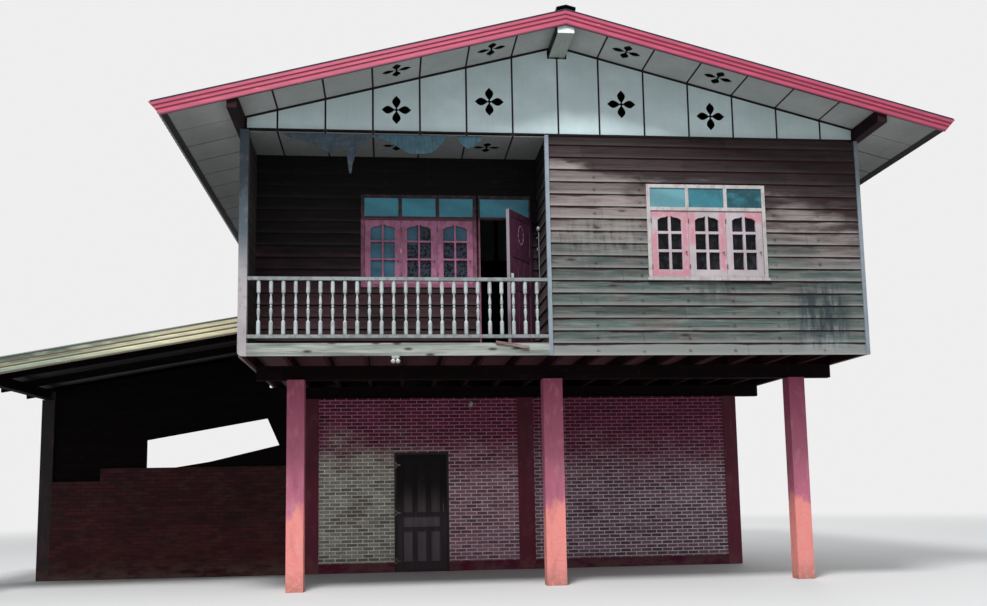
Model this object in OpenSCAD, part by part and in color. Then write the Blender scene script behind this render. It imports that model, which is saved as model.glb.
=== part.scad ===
// Stilt house: a timber house on brick and concrete posts, with a recessed
// veranda, a brick room below, a gabled roof and an open lean-to on its left.
// Origin: centre of the foot of the front middle post. X runs along the front,
// Y towards the back, Z up. All sizes are in millimetres.

/* [Upper floor] */
// Width of the timber house over its side walls
house_w = 8120; // [7600:10:9000]
// Depth of the timber house from front to back
house_d = 7700; // [7300:10:8400]
// Height of the rooms from the floor to the wall plates
room_h = 2730; // [2600:10:2900]
// Thickness of the boarded walls
wall_t = 80; // [60:2:110]
// Height that each lapped wall board shows
lap_pitch = 163; // [120:1:200]
// How far the foot of a lapped board stands out
lap_proud = 15; // [6:1:24]
// Side of the corner posts of the walls
corner_w = 50; // [40:1:110]
// How far the posts stand in front of the lapped boards
post_proud = 12; // [4:1:20]

/* [Posts and floor] */
// Spacing of the posts across the house
bay_w = 3436; // [3200:1:3600]
// Spacing of the rows of posts from front to back
row_pitch = 2820; // [2600:10:3000]
// Height of the posts
post_h = 2760; // [2500:10:3200]
// Side of the outer posts
post_w = 225; // [180:1:260]
// Side of the middle posts
mid_post_w = 265; // [200:1:300]
// How far the upper floor reaches in front of the first row of posts
front_over = 1065; // [950:5:1200]
// Height of the main beams
beam_h = 190; // [150:5:240]
// Width of the main beams
beam_w = 120; // [80:5:160]
// How far the main beams run past the outer posts' centre lines
beam_over = 520; // [400:5:560]
// Height of the floor joists
joist_h = 135; // [100:5:180]
// Width of the floor joists
joist_w = 50; // [38:1:75]
// Number of floor joists
joist_n = 17; // [12:1:22]
// Thickness of the floor boards
board_t = 25; // [18:1:40]
// Thickness of the edge boards round the floor
edge_t = 36; // [32:1:45]

/* [Veranda] */
// Depth of the veranda
veranda_d = 910; // [800:5:1100]
// Left face of the post between the veranda and the front room
divider_x = -188; // [-400:1:0]
// Width of that post
divider_w = 50; // [40:1:100]
// Side of the veranda's corner post
veranda_post_w = 108; // [100:1:160]
// Radius of the corner post's rounded foot
foot_r = 60; // [30:1:90]
// Height of the top of the hand rail above the floor
rail_top = 838; // [750:1:950]
// Height of the middle of the bottom rail above the floor
low_rail = 87; // [70:1:140]
// Height of each rail
rail_h = 42; // [35:1:60]
// Depth of each rail
rail_d = 65; // [55:1:80]
// Number of balusters
baluster_n = 24; // [16:1:26]
// Largest radius of a baluster
baluster_r = 24.5; // [18:0.5:28]
// Distance from the posts to the first and the last baluster
baluster_end = 139; // [90:1:160]
// Height of the ceiling above the floor
ceiling_h = 2700; // [2580:5:2720]

/* [Roof] */
// Rise of the roof for each unit of width
slope = 0.262; // [0.24:0.002:0.28]
// Height of the underside of the eaves at the ridge, above the wall plates' foot
ridge_rise = 1215; // [1160:5:1260]
// How far the roof reaches past the gable walls
gable_over = 740; // [600:5:900]
// How far the soffit reaches past the side walls
eave_over = 765; // [650:5:820]
// Height of the rafters
rafter_h = 80; // [60:2:100]
// Height of the purlins
purlin_h = 50; // [40:2:70]
// Thickness of the panels of the gables, soffits and ceiling
panel_t = 8; // [6:1:12]
// Width of the panels
panel_pitch = 600; // [580:5:620]
// Width of the joints between the panels
joint_w = 25; // [12:1:32]
// Place of the first panel joint right of the ridge
right_joint = 545; // [500:5:600]
// Width of the ridge beam
ridge_w = 210; // [160:5:260]
// How far the ridge beam hangs under the soffit at the ridge
ridge_drop = 155; // [120:5:200]
// Width of the wall plates
plate_w = 120; // [90:5:140]
// Thickness of the gable fascia
fascia_t = 30; // [24:1:40]
// How far the fascia hangs under the soffit
fascia_drop = 52; // [8:1:70]
// Depth of the two grooves along the fascia
groove_d = 9; // [5:1:12]
// Distance between two crests of the roof sheets
wave_pitch = 130; // [110:1:180]
// Height of the waves of the roof sheets
wave_h = 24; // [16:1:36]
// Thickness of the roof sheets
sheet_t = 5; // [4:0.5:7]
// Half width of the ridge cap
cap_w = 122; // [120:5:200]

/* [Flower vents] */
// Distance from the middle of a flower to the tip of a petal
petal_reach = 192; // [140:4:220]
// Radius of the flower's round middle
flower_eye = 20; // [10:1:28]
// Width of a petal
petal_w = 108; // [60:1:120]
// Height of a gable flower as a share of its panel
flower_share = 0.44; // [0.35:0.01:0.55]

/* [Windows] */
// Left edge of the front window
win_x = 1138; // [900:1:1400]
// Width of the front window
win_w = 1596; // [1400:1:1800]
// Height of the front window's foot above the floor
win_foot = 822; // [750:1:900]
// Height of the front window
win_h = 1271; // [1150:1:1320]
// Left edge of the veranda window
vwin_x = -2579; // [-2700:1:-2300]
// Width of the veranda window
vwin_w = 1567; // [1400:1:1600]
// Height of the veranda window's foot above the floor
vwin_foot = 890; // [830:1:1000]
// Height of the veranda window
vwin_h = 1283; // [1100:1:1340]
// Height of the lights over the leaves
transom_h = 305; // [200:5:340]
// Width of the frame bars
frame_w = 46; // [35:1:60]
// Depth of the window frames
frame_d = 70; // [50:1:90]
// Thickness of the window leaves
leaf_t = 32; // [24:1:40]
// Width of the stiles of the front window's leaves
stile_w = 90; // [60:1:105]
// Width of the stiles of the veranda window's leaves
vstile_w = 82; // [60:1:105]
// Height of the bottom rails of the leaves
foot_rail = 88; // [60:1:110]
// Height of the top rails of the leaves over the arch
head_rail = 50; // [35:1:80]
// Gap round the window leaves
leaf_gap = 3; // [2:0.5:5]
// Width of the glazing bars
bar_w = 34; // [20:1:40]
// Width of the glazing bars of the veranda window
vbar_w = 24; // [16:1:32]
// Thickness of the glass
glass_t = 4; // [3:0.5:6]
// Rise of the pointed arch of a leaf
arch_rise = 72; // [30:1:90]

/* [Veranda door] */
// Width of the veranda door opening
vdoor_w = 723; // [650:1:800]
// Height of the veranda door opening
vdoor_h = 1840; // [1700:5:1860]
// Angle at which the veranda door stands open
vdoor_open = 55; // [40:5:80]
// Thickness of the veranda door's leaf
vdoor_t = 45; // [35:1:50]

/* [Brick room] */
// Thickness of the brick walls
brick_t = 100; // [90:1:140]
// How far the posts stand in front of the brick wall
pilaster_proud = 10; // [5:1:25]
// Left edge of the ground door's leaf
gdoor_x = -2090; // [-2400:1:-1900]
// Width of the ground door's leaf
gdoor_w = 790; // [750:1:880]
// Height of the top of the ground door's leaf
gdoor_top = 1846; // [1800:1:2000]
// Gap under the ground door's leaf
gdoor_sill = 12; // [8:1:20]
// Thickness of the ground door's leaf
gdoor_t = 40; // [35:1:45]
// Gap between the ground door's leaf and its frame
gdoor_gap = 6; // [5:0.5:8]
// Width of the ground door's frame
gframe_w = 35; // [30:1:60]
// How far the frame's stop covers the leaf
stop_w = 14; // [8:1:20]
// Thickness of the ground slab
slab_t = 30; // [20:1:60]

/* [Hinges] */
// Number of hinges on the ground door
hinge_n = 3; // [2:1:3]
// Height of a hinge
hinge_h = 90; // [70:2:110]
// Radius of a hinge knuckle
knuckle_r = 8; // [7:0.5:9]
// Radius of a hinge pin
pin_r = 4; // [3:0.5:5]
// Gap round a hinge pin
pin_gap = 0.3; // [0.2:0.1:0.5]
// Width of a hinge flap
flap_w = 55; // [40:1:60]
// Thickness of a hinge flap
flap_t = 3; // [2:0.5:4]

/* [Lean-to] */
// How far the lean-to reaches out from the house
lean_w = 3940; // [3700:10:4300]
// Fall of the lean-to's roof for each unit of width
lean_slope = 0.176; // [0.15:0.002:0.2]
// Height of the top of the lean-to's fascia above the upper floor, at the house wall
lean_rise = 501; // [450:1:550]
// Height of the lean-to's fascia
lean_fascia_h = 210; // [180:5:240]
// Side of the lean-to's posts
lean_post_w = 190; // [150:5:220]
// Distance of the lean-to's posts from the middle of the house
lean_post_x = 7490; // [7300:10:7700]
// Height of the lean-to's low brick wall
dado_h = 1700; // [1500:10:1800]
// Height of its lower left part
dado_low_h = 1500; // [1300:10:1600]
// Length of its lower left part
dado_low_w = 720; // [500:10:900]
// Height of the opening over the low wall
dado_open_h = 770; // [600:10:800]
// Length of that opening
dado_open_w = 1930; // [1500:10:2300]

/* [Hidden] */
$fn = 24;
half_w = house_w / 2;
front_y = -front_over;
back_y = front_y + house_d;
beam_z = post_h;
joist_z = beam_z + beam_h;
board_z = joist_z + joist_h;
floor_z = board_z + board_t;
lean_top = floor_z + lean_rise;
plate_z = floor_z + room_h;
ridge_z = plate_z + ridge_rise;
roof_angle = atan(slope);
post_xs = [-bay_w, 0, bay_w];
lap_y = front_y + post_proud;
side_x = half_w - post_proud;
inner_x = side_x - wall_t;
back_lap_y = back_y - post_proud;
soffit_x = half_w + eave_over;
sheet_rise = panel_t + rafter_h + purlin_h;
roof_y0 = front_y - gable_over;
roof_y1 = back_y + gable_over;
vwall_y = front_y + veranda_d;
return_x = divider_x + post_proud;
brick_y = row_pitch - post_w / 2 + pilaster_proud;
stop_gap = 5;
seat_gap = 0.3;
hinge_x = gdoor_x - gdoor_gap / 2;
hinge_y = brick_y - knuckle_r - 1;
lean_x = -half_w;
lean_y0 = -post_w / 2 - 25;
lean_y1 = row_pitch + 300;
panel_xs = concat(
    [for (k = [ceil((panel_pitch / 2 - half_w) / panel_pitch):0]) k * panel_pitch],
    [for (x = [right_joint:panel_pitch:half_w - panel_pitch / 3]) x]);

// Helpers

module block(x, y, z) {
    translate([x[0], y[0], z[0]]) cube([x[1] - x[0], y[1] - y[0], z[1] - z[0]]);
}

// Stands a drawing of (width, height) up as a plate whose front face is at y
module plate(y, t) {
    translate([0, y + t, 0]) rotate([90, 0, 0]) linear_extrude(t) children();
}

// Runs a drawing of (width, height) from y0 back to y1
module run_y(y0, y1) {
    translate([0, y1, 0]) rotate([90, 0, 0]) linear_extrude(y1 - y0) children();
}

module both_sides() {
    children();
    mirror([1, 0, 0]) children();
}

// Repeats what stands at the front gable at the back gable
module both_gables() {
    children();
    translate([0, front_y + back_y, 0]) mirror([0, 1, 0]) children();
}

function soffit_z(x) = ridge_z - slope * abs(x);
function under_soffit(x) = soffit_z(x) - seat_gap;

// A band that follows the right slope between two distances from the ridge
module slope_band(x0, x1, low, high) {
    polygon([[x0, soffit_z(x0) + low], [x1, soffit_z(x1) + low],
             [x1, soffit_z(x1) + high], [x0, soffit_z(x0) + high]]);
}

// Section of a boarded wall: outside at 0, foot at height 0
module lap_section(h, skirt) {
    n = ceil(h / lap_pitch);
    inner = edge_t - post_proud;
    polygon(concat(
        skirt > 0 ? [[inner, 0], [inner, -skirt], [0, -skirt], [lap_proud, 0]] : [],
        [for (i = [0:n - 1]) each [[0, i * lap_pitch], [lap_proud, min((i + 1) * lap_pitch, h)]]],
        [[wall_t, h], [wall_t, 0]]));
}

// Boarded wall across the house, from x0 to x1, with its outside at y
module lap_wall_x(x0, x1, y, h, skirt = 0) {
    translate([x0, y, floor_z]) rotate([90, 0, 90]) linear_extrude(x1 - x0) lap_section(h, skirt);
}

// Boarded wall from front to back, with its outside at x and facing left
module lap_wall_y(y0, y1, x, h, skirt = 0) {
    translate([x, y1, floor_z]) rotate([90, 0, 0]) linear_extrude(y1 - y0) lap_section(h, skirt);
}

// Ground floor

module ground_slab() {
    color("#8C8880")
    difference() {
        block([-bay_w + brick_t / 2, bay_w - brick_t / 2],
              [brick_y + brick_t, 2 * row_pitch - brick_t / 2], [0, slab_t]);
        for (y = [row_pitch, 2 * row_pitch]) post_row(y);
    }
}

module post_row(y) {
    for (x = post_xs) {
        w = x == 0 ? mid_post_w : post_w;
        block([x - w / 2, x + w / 2], [y - post_w / 2, y + post_w / 2], [0, post_h]);
    }
}

module front_posts() {
    color("#F0909A") post_row(0);
}

module middle_posts() {
    color("#8C3A5C") post_row(row_pitch);
}

module rear_posts() {
    color("#8C3A5C") post_row(2 * row_pitch);
}

module brick_block(x, y, z) {
    color("#6A2A40") block(x, y, z);
}

frame_x0 = gdoor_x - gdoor_gap - gframe_w;
frame_x1 = gdoor_x + gdoor_w + gdoor_gap + gframe_w;
frame_top = gdoor_top + gdoor_gap + gframe_w;

module brick_wall_left_of_door() {
    brick_block([-bay_w + post_w / 2, frame_x0], [brick_y, brick_y + brick_t], [0, post_h]);
}

module brick_wall_right_of_door() {
    brick_block([frame_x1, -mid_post_w / 2], [brick_y, brick_y + brick_t], [0, post_h]);
}

module brick_wall_over_door() {
    brick_block([frame_x0, frame_x1], [brick_y, brick_y + brick_t], [frame_top, post_h]);
}

module front_right_brick_wall() {
    brick_block([mid_post_w / 2, bay_w - post_w / 2], [brick_y, brick_y + brick_t], [0, post_h]);
}

module side_brick_walls() {
    both_sides()
        brick_block([bay_w - brick_t / 2, bay_w + brick_t / 2],
                    [row_pitch + post_w / 2, 2 * row_pitch - post_w / 2], [0, joist_z]);
}

module back_brick_walls() {
    both_sides()
        brick_block([mid_post_w / 2, bay_w - post_w / 2],
                    [2 * row_pitch - brick_t / 2, 2 * row_pitch + brick_t / 2], [0, post_h]);
}

// Ground door

module ground_door_frame() {
    color("#3C3038")
    difference() {
        block([frame_x0, frame_x1], [brick_y, brick_y + brick_t], [0, frame_top]);
        block([gdoor_x - gdoor_gap, gdoor_x + gdoor_w + gdoor_gap],
              [brick_y - 1, brick_y + gdoor_t + stop_gap], [-1, gdoor_top + gdoor_gap]);
        block([gdoor_x + stop_w, gdoor_x + gdoor_w - stop_w],
              [brick_y, brick_y + brick_t + 1], [-1, gdoor_top - stop_w]);
    }
}

// Heights of the door's three rows of panels, each from foot to top
door_stile = 105;
door_rows = [[160, 630], [700, 860], [930, gdoor_top - door_stile]];

// Panelled leaf: recesses on both faces leave three panels, a lying one and three more
module ground_door_leaf() {
    recess = 10;
    gap = 79;
    open_w = gdoor_w - 2 * door_stile;
    color("#2A1E26")
    difference() {
        block([gdoor_x, gdoor_x + gdoor_w], [brick_y, brick_y + gdoor_t], [gdoor_sill, gdoor_top]);
        for (y = [brick_y - recess, brick_y + gdoor_t - recess], row = [0:2]) {
            n = row == 1 ? 1 : 3;
            w = (open_w - (n - 1) * gap) / n;
            for (i = [0:n - 1]) {
                x = gdoor_x + door_stile + i * (w + gap);
                block([x, x + w], [y, y + 2 * recess], door_rows[row]);
            }
        }
    }
}

module ground_door_handle() {
    x = gdoor_x + gdoor_w - 55;
    z = 1000;
    reach = 35;
    grip = 130;
    color("#9A9A94") {
        translate([x, brick_y - reach, z - grip / 2]) cylinder(r = 7, h = grip);
        for (s = [-1, 1])
            translate([x, brick_y, z + s * grip * 0.38]) rotate([90, 0, 0]) cylinder(r = 5, h = reach);
    }
}

hinge_end = 160;
function hinge_zs() = [for (i = [0:hinge_n - 1])
    gdoor_sill + hinge_end + i * (gdoor_top - gdoor_sill - 2 * hinge_end) / (hinge_n - 1)];

// One knuckle and its flap; side is 1 on the leaf and -1 on the frame
module hinge_part(z0, z1, side) {
    seam = 3;
    translate([hinge_x, hinge_y, z0]) cylinder(r = knuckle_r, h = z1 - z0);
    x = side > 0 ? [gdoor_x, gdoor_x + flap_w] : [frame_x0 + seam, gdoor_x - gdoor_gap];
    block(x, [brick_y - flap_t, brick_y], [z0, z1]);
    neck = side > 0 ? [hinge_x, gdoor_x + 1] : [gdoor_x - gdoor_gap - 1, hinge_x];
    block(neck, [brick_y - flap_t, brick_y - 1.2], [z0, z1]);
}

module hinge_frame_halves() {
    third = hinge_h / 3;
    color("#8A8780")
    for (z = hinge_zs()) {
        translate([hinge_x, hinge_y, z - hinge_h / 2]) cylinder(r = pin_r, h = hinge_h);
        hinge_part(z - hinge_h / 2, z - third / 2 - 0.5, -1);
        hinge_part(z + third / 2 + 0.5, z + hinge_h / 2, -1);
    }
}

module hinge_leaf_halves() {
    third = hinge_h / 3;
    color("#8A8780")
    for (z = hinge_zs())
        difference() {
            hinge_part(z - third / 2, z + third / 2, 1);
            translate([hinge_x, hinge_y, z - third]) cylinder(r = pin_r + pin_gap, h = 2 * third);
        }
}

// Floor of the upper storey

module main_beams() {
    color("#5A3040")
    for (i = [0:2])
        block([-bay_w - beam_over, bay_w + beam_over],
              [i * row_pitch - beam_w / 2, i * row_pitch + beam_w / 2], [beam_z, beam_z + beam_h]);
}

module floor_joists() {
    reach = half_w - edge_t - joist_w / 2;
    color("#6A3A44")
    for (i = [0:joist_n - 1]) {
        x = -reach + 2 * reach * i / (joist_n - 1);
        block([x - joist_w / 2, x + joist_w / 2], [front_y + edge_t, back_y - edge_t], [joist_z, board_z]);
    }
}

module floor_boards() {
    color("#7A4450")
    block([-half_w + edge_t, half_w - edge_t], [front_y + edge_t, back_y - edge_t], [board_z, floor_z]);
}

module front_floor_edge() {
    color("#B9BDB6")
    block([-half_w + veranda_post_w, divider_x], [front_y, front_y + edge_t], [joist_z, floor_z]);
}

// Edge boards on the left and at the back; lap boards cover the other edges
module side_floor_edges() {
    split = 1;
    color("#8F8C84") {
        block([-half_w, -half_w + edge_t], [front_y + veranda_post_w, back_y], [joist_z, floor_z]);
        block([-half_w + edge_t + split, half_w - corner_w], [back_y - edge_t, back_y], [joist_z, floor_z]);
    }
}

// Walls of the upper storey

module veranda_corner_post() {
    w = veranda_post_w;
    color("#C8B4B4")
    difference() {
        block([-half_w, -half_w + w], [front_y, front_y + w], [joist_z, plate_z]);
        translate([-half_w, front_y - 1, joist_z])
        difference() {
            translate([-1, 0, -1]) cube([foot_r + 1, w + 2, foot_r + 1]);
            translate([foot_r, -1, foot_r]) rotate([-90, 0, 0]) cylinder(r = foot_r, h = w + 4, $fn = 48);
        }
        block([-half_w + edge_t, half_w], [front_y + edge_t, front_y + w + 1], [joist_z - 1, floor_z]);
    }
}

// Corner boards; all but the one at the back left run down over the floor's edge
module corner_posts() {
    color("#8F857C")
    difference() {
        union() {
            block([half_w - corner_w, half_w], [front_y, front_y + corner_w], [joist_z, plate_z]);
            block([half_w - corner_w, half_w], [back_y - corner_w, back_y], [joist_z, plate_z]);
            block([-half_w, -half_w + corner_w], [back_y - corner_w, back_y], [floor_z, plate_z]);
            block([divider_x, divider_x + divider_w], [front_y, front_y + corner_w], [joist_z, plate_z]);
        }
        block([-half_w, half_w - edge_t], [front_y + edge_t, back_y - edge_t], [joist_z - 1, floor_z]);
    }
}

side_win_ys = [front_y + house_d * 0.38, front_y + house_d * 0.74];
back_win_xs = [-half_w * 0.5, half_w * 0.5];

module side_window_hole(y) {
    block([-half_w - 1, half_w + 1], [y - win_w / 2, y + win_w / 2],
          [floor_z + win_foot, floor_z + win_foot + win_h]);
}

module left_side_wall() {
    color("#6E655F")
    difference() {
        lap_wall_y(front_y + veranda_post_w, back_y - corner_w, -side_x, room_h);
        for (y = side_win_ys) side_window_hole(y);
    }
}

// Room that the side walls and the return wall take from the walls that meet them
module wall_ends() {
    both_sides()
        block([inner_x, half_w], [front_y + corner_w, back_y - corner_w], [floor_z - 1, plate_z + 1]);
    block([return_x, return_x + wall_t], [front_y + corner_w, vwall_y + wall_t], [floor_z - 1, plate_z + 1]);
}

module right_side_wall() {
    color("#6E655F")
    difference() {
        mirror([1, 0, 0])
            lap_wall_y(front_y + corner_w, back_y - corner_w, -side_x, room_h, floor_z - joist_z);
        for (y = side_win_ys) side_window_hole(y);
    }
}

module back_wall() {
    color("#6E655F")
    difference() {
        translate([0, front_y + back_y, 0]) mirror([0, 1, 0])
            lap_wall_x(-half_w + corner_w, half_w - corner_w, lap_y, room_h);
        for (x = back_win_xs)
            block([x - win_w / 2, x + win_w / 2], [back_y - wall_t * 2, back_y + 1],
                  [floor_z + win_foot, floor_z + win_foot + win_h]);
        wall_ends();
    }
}

module front_room_wall() {
    color("#8F857C")
    difference() {
        lap_wall_x(divider_x + divider_w, half_w - corner_w, lap_y, room_h, floor_z - joist_z);
        block([win_x, win_x + win_w], [front_y - 1, front_y + wall_t * 2],
              [floor_z + win_foot, floor_z + win_foot + win_h]);
        wall_ends();
    }
}

module return_wall() {
    color("#6E655F") lap_wall_y(front_y + corner_w, vwall_y + wall_t, return_x, room_h);
}

vdoor_x1 = return_x - 86;
vdoor_x0 = vdoor_x1 - vdoor_w;

module veranda_back_wall() {
    color("#4A3A3A")
    difference() {
        lap_wall_x(-inner_x, return_x, vwall_y, ceiling_h + panel_t);
        block([vwin_x, vwin_x + vwin_w], [vwall_y - 1, vwall_y + wall_t + 1],
              [floor_z + vwin_foot, floor_z + vwin_foot + vwin_h]);
        block([vdoor_x0, vdoor_x1], [vwall_y - 1, vwall_y + wall_t + 1],
              [floor_z - 1, floor_z + vwin_foot + vwin_h]);
    }
}

// Windows, drawn with the left foot of the frame at 0

lights_n = 3;

// Frame with a row of lights over one wide opening for the leaves
module window_frame(w, h) {
    pitch = (w - frame_w) / lights_n;
    difference() {
        square([w, h]);
        translate([frame_w, frame_w]) square([w - 2 * frame_w, leaf_room(h)]);
        for (i = [0:lights_n - 1])
            translate([frame_w + i * pitch, h - transom_h]) square([pitch - frame_w, transom_h - frame_w]);
    }
}

// Beads round the opening that the closed leaves bear on
module leaf_stops(w, h) {
    room_w = w - 2 * frame_w;
    translate([frame_w, frame_w])
    difference() {
        square([room_w, leaf_room(h)]);
        translate([stop_w, stop_w]) square([room_w - 2 * stop_w, leaf_room(h) - 2 * stop_w]);
    }
}

// Pointed double-curved arch: half width a, rise b, foot at height 0
module ogee(a, b) {
    steps = 10;
    swell = 0.13;
    half = [for (i = [0:steps]) [a * (1 - i / steps), b * (i / steps + swell * sin(360 * i / steps))]];
    polygon(concat(half, [for (i = [steps - 1:-1:0]) [-half[i][0], half[i][1]]]));
}

// Leaf with two columns and three rows of panes under the arch
module window_leaf(w, h, bar, stile) {
    in_w = w - 2 * stile;
    in_h = h - foot_rail - head_rail;
    difference() {
        square([w, h]);
        translate([stile, foot_rail])
        difference() {
            union() {
                square([in_w, in_h - arch_rise]);
                translate([in_w / 2, in_h - arch_rise - 0.01]) ogee(in_w / 2, arch_rise);
            }
            translate([(in_w - bar) / 2, 0]) square([bar, in_h]);
            for (i = [1, 2]) translate([0, (i * in_h - bar) / 3]) square([in_w, bar]);
        }
    }
}

function leaf_room(h) = h - transom_h - 2 * frame_w;
function leaf_w(w) = (w - 2 * frame_w - leaf_gap) / lights_n - leaf_gap;
function leaf_h(h) = leaf_room(h) - 2 * leaf_gap;

// Repeats a drawing in the place of each leaf
module in_leaves(w) {
    for (i = [0:lights_n - 1])
        translate([frame_w + leaf_gap + i * (leaf_w(w) + leaf_gap), frame_w + leaf_gap]) children();
}

module leaf_row(w, h, bar, stile) {
    in_leaves(w) window_leaf(leaf_w(w), leaf_h(h), bar, stile);
}

module glass_row(w, h) {
    edge = min(stile_w, vstile_w) / 2;
    in_leaves(w) translate([edge, foot_rail / 2])
        square([leaf_w(w) - 2 * edge, leaf_h(h) - foot_rail / 2 - head_rail / 2]);
}

module light_row(w, h) {
    pitch = (w - frame_w) / lights_n;
    for (i = [0:lights_n - 1])
        translate([frame_w + i * pitch, h - transom_h]) square([pitch - frame_w, transom_h - frame_w]);
}

frame_proud = 8;
front_frame_y = lap_y - frame_proud;
vwin_frame_y = vwall_y - frame_proud;

module at_front_window(y, t) {
    translate([win_x, 0, floor_z + win_foot]) plate(y, t) children();
}

module at_veranda_window(y, t) {
    translate([vwin_x, 0, floor_z + vwin_foot]) plate(y, t) children();
}

sill_over = 18;
leaf_in = 12;
glass_in = leaf_in + leaf_t;
bead_d = frame_d - glass_in;

module front_window_frame() {
    color("#CFC9CC") {
        at_front_window(front_frame_y, frame_d) window_frame(win_w, win_h);
        at_front_window(front_frame_y + glass_in, bead_d) leaf_stops(win_w, win_h);
        block([win_x - sill_over, win_x + win_w + sill_over], [front_frame_y - sill_over, front_frame_y],
              [floor_z + win_foot - sill_over / 2, floor_z + win_foot + frame_w / 2]);
    }
}

module front_window_leaves() {
    color("#D8C8CC")
    at_front_window(front_frame_y + leaf_in, leaf_t) leaf_row(win_w, win_h, bar_w, stile_w);
}

jamb_w = frame_w / 2;

// The light over the veranda door, level with the lights of the window
module door_light() {
    translate([jamb_w, vwin_foot + vwin_h - transom_h])
        square([vdoor_w - 2 * jamb_w, transom_h - frame_w]);
}

// Frame of the veranda window, and of the door beside it with its own light
module veranda_window_frame() {
    color("#6E3550") {
        at_veranda_window(vwin_frame_y, frame_d) window_frame(vwin_w, vwin_h);
        at_veranda_window(vwin_frame_y + glass_in, bead_d) leaf_stops(vwin_w, vwin_h);
        translate([vdoor_x0, 0, floor_z]) plate(vwin_frame_y, frame_d)
        difference() {
            square([vdoor_w, vwin_foot + vwin_h]);
            translate([jamb_w, -1]) square([vdoor_w - 2 * jamb_w, vdoor_h + 1]);
            door_light();
        }
    }
}

module veranda_window_leaves() {
    color("#C05A80")
    at_veranda_window(vwin_frame_y + leaf_in, leaf_t) leaf_row(vwin_w, vwin_h, vbar_w, vstile_w);
}

vdoor_gap = 6;

// Panelled leaf that stands open over the veranda, fixed at its right edge
module veranda_door_leaf() {
    w = vdoor_w - 2 * jamb_w - 2 * vdoor_gap;
    h = vdoor_h - 2 * vdoor_gap;
    stile = 80;
    recess = 8;
    lock_z = h * 0.42;
    frieze_z = h * 0.66;
    color("#6E3550")
    translate([vdoor_x1 - jamb_w, vwin_frame_y, floor_z + vdoor_gap])
    rotate([0, 0, vdoor_open])
    translate([-w, -vdoor_t, 0])
    difference() {
        cube([w, vdoor_t, h]);
        for (z = [[stile * 1.5, lock_z], [lock_z + stile, frieze_z], [frieze_z + stile, h - stile]],
             y = [-recess, vdoor_t - recess])
            translate([stile, y, z[0]]) cube([w - 2 * stile, 2 * recess, z[1] - z[0]]);
    }
}

// Windows of the unseen sides, frame and leaves in one piece
module plain_window() {
    plate(0, frame_d) window_frame(win_w, win_h);
    plate(glass_in, bead_d) leaf_stops(win_w, win_h);
    plate(leaf_in, leaf_t) leaf_row(win_w, win_h, bar_w, stile_w);
}

module at_side_windows(side) {
    for (y = side_win_ys)
        translate([side * (side_x + frame_proud), y, floor_z + win_foot])
        rotate([0, 0, side * 90]) translate([-win_w / 2, 0, 0]) children();
}

module at_back_windows() {
    for (x = back_win_xs)
        translate([x, back_lap_y + frame_proud, floor_z + win_foot])
        rotate([0, 0, 180]) translate([-win_w / 2, 0, 0]) children();
}

module side_and_back_windows() {
    color("#CFC9CC") {
        at_side_windows(1) plain_window();
        at_side_windows(-1) plain_window();
        at_back_windows() plain_window();
    }
}

module other_windows() {
    at_side_windows(1) children();
    at_side_windows(-1) children();
    at_back_windows() children();
}

module transom_glass() {
    color("#4FA0A8") {
        at_front_window(front_frame_y + leaf_in, glass_t) light_row(win_w, win_h);
        at_veranda_window(vwin_frame_y + leaf_in, glass_t) light_row(vwin_w, vwin_h);
        translate([vdoor_x0, 0, floor_z]) plate(vwin_frame_y + leaf_in, glass_t) door_light();
        other_windows() plate(leaf_in, glass_t) light_row(win_w, win_h);
    }
}

module leaf_glass() {
    color("#20282C") {
        at_front_window(front_frame_y + glass_in, glass_t) glass_row(win_w, win_h);
        at_veranda_window(vwin_frame_y + glass_in, glass_t) glass_row(vwin_w, vwin_h);
        other_windows() plate(glass_in, glass_t) glass_row(win_w, win_h);
    }
}

// Veranda railing

rail_x0 = -half_w + veranda_post_w;
rail_x1 = divider_x;
rail_y = front_y + rail_d / 2 + 8;

module veranda_rails() {
    color("#C8D0CC")
    for (top = [rail_top, low_rail + rail_h / 2])
        block([rail_x0, rail_x1], [rail_y - rail_d / 2, rail_y + rail_d / 2],
              [floor_z + top - rail_h, floor_z + top]);
}

// Turned baluster, as (share of radius, share of height): a long block at each end,
// and two vases between them that meet at a bead
baluster_profile = [
    [0, 0], [0.94, 0], [1, 0.02], [1, 0.23], [0.85, 0.25], [0.42, 0.265], [0.42, 0.275], [0.5, 0.3],
    [0.84, 0.41], [0.86, 0.45], [0.7, 0.48], [0.45, 0.495], [0.45, 0.505], [0.68, 0.515], [0.68, 0.53],
    [0.45, 0.54], [0.45, 0.55], [0.75, 0.565], [0.8, 0.6], [0.66, 0.66], [0.42, 0.72], [0.58, 0.735],
    [0.42, 0.75], [0.85, 0.765], [1, 0.785], [1, 0.98], [0.94, 1], [0, 1]];

module balusters() {
    z0 = low_rail + rail_h / 2;
    h = rail_top - rail_h - z0;
    pitch = (rail_x1 - rail_x0 - 2 * baluster_end) / (baluster_n - 1);
    color("#C8D0CC")
    for (i = [0:baluster_n - 1])
        translate([rail_x0 + baluster_end + i * pitch, rail_y, floor_z + z0])
            rotate_extrude($fn = 16) polygon([for (p = baluster_profile) [p[0] * baluster_r, p[1] * h]]);
}

// Outline of half a petal as shares of its reach and half its width
petal_profile = [[0, 0.12], [0.14, 0.2], [0.28, 0.56], [0.42, 0.86], [0.56, 1], [0.68, 0.93],
                 [0.8, 0.64], [0.9, 0.28], [1, 0]];

// Flower of four petals with a narrow neck and a drawn-out tip
module flower() {
    side = [for (p = petal_profile) [p[0] * petal_reach, p[1] * petal_w / 2]];
    n = len(side) - 1;
    circle(flower_eye);
    for (a = [0:90:270])
        rotate(a) polygon(concat(side, [for (i = [n - 1:-1:0]) [side[i][0], -side[i][1]]]));
}

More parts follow.
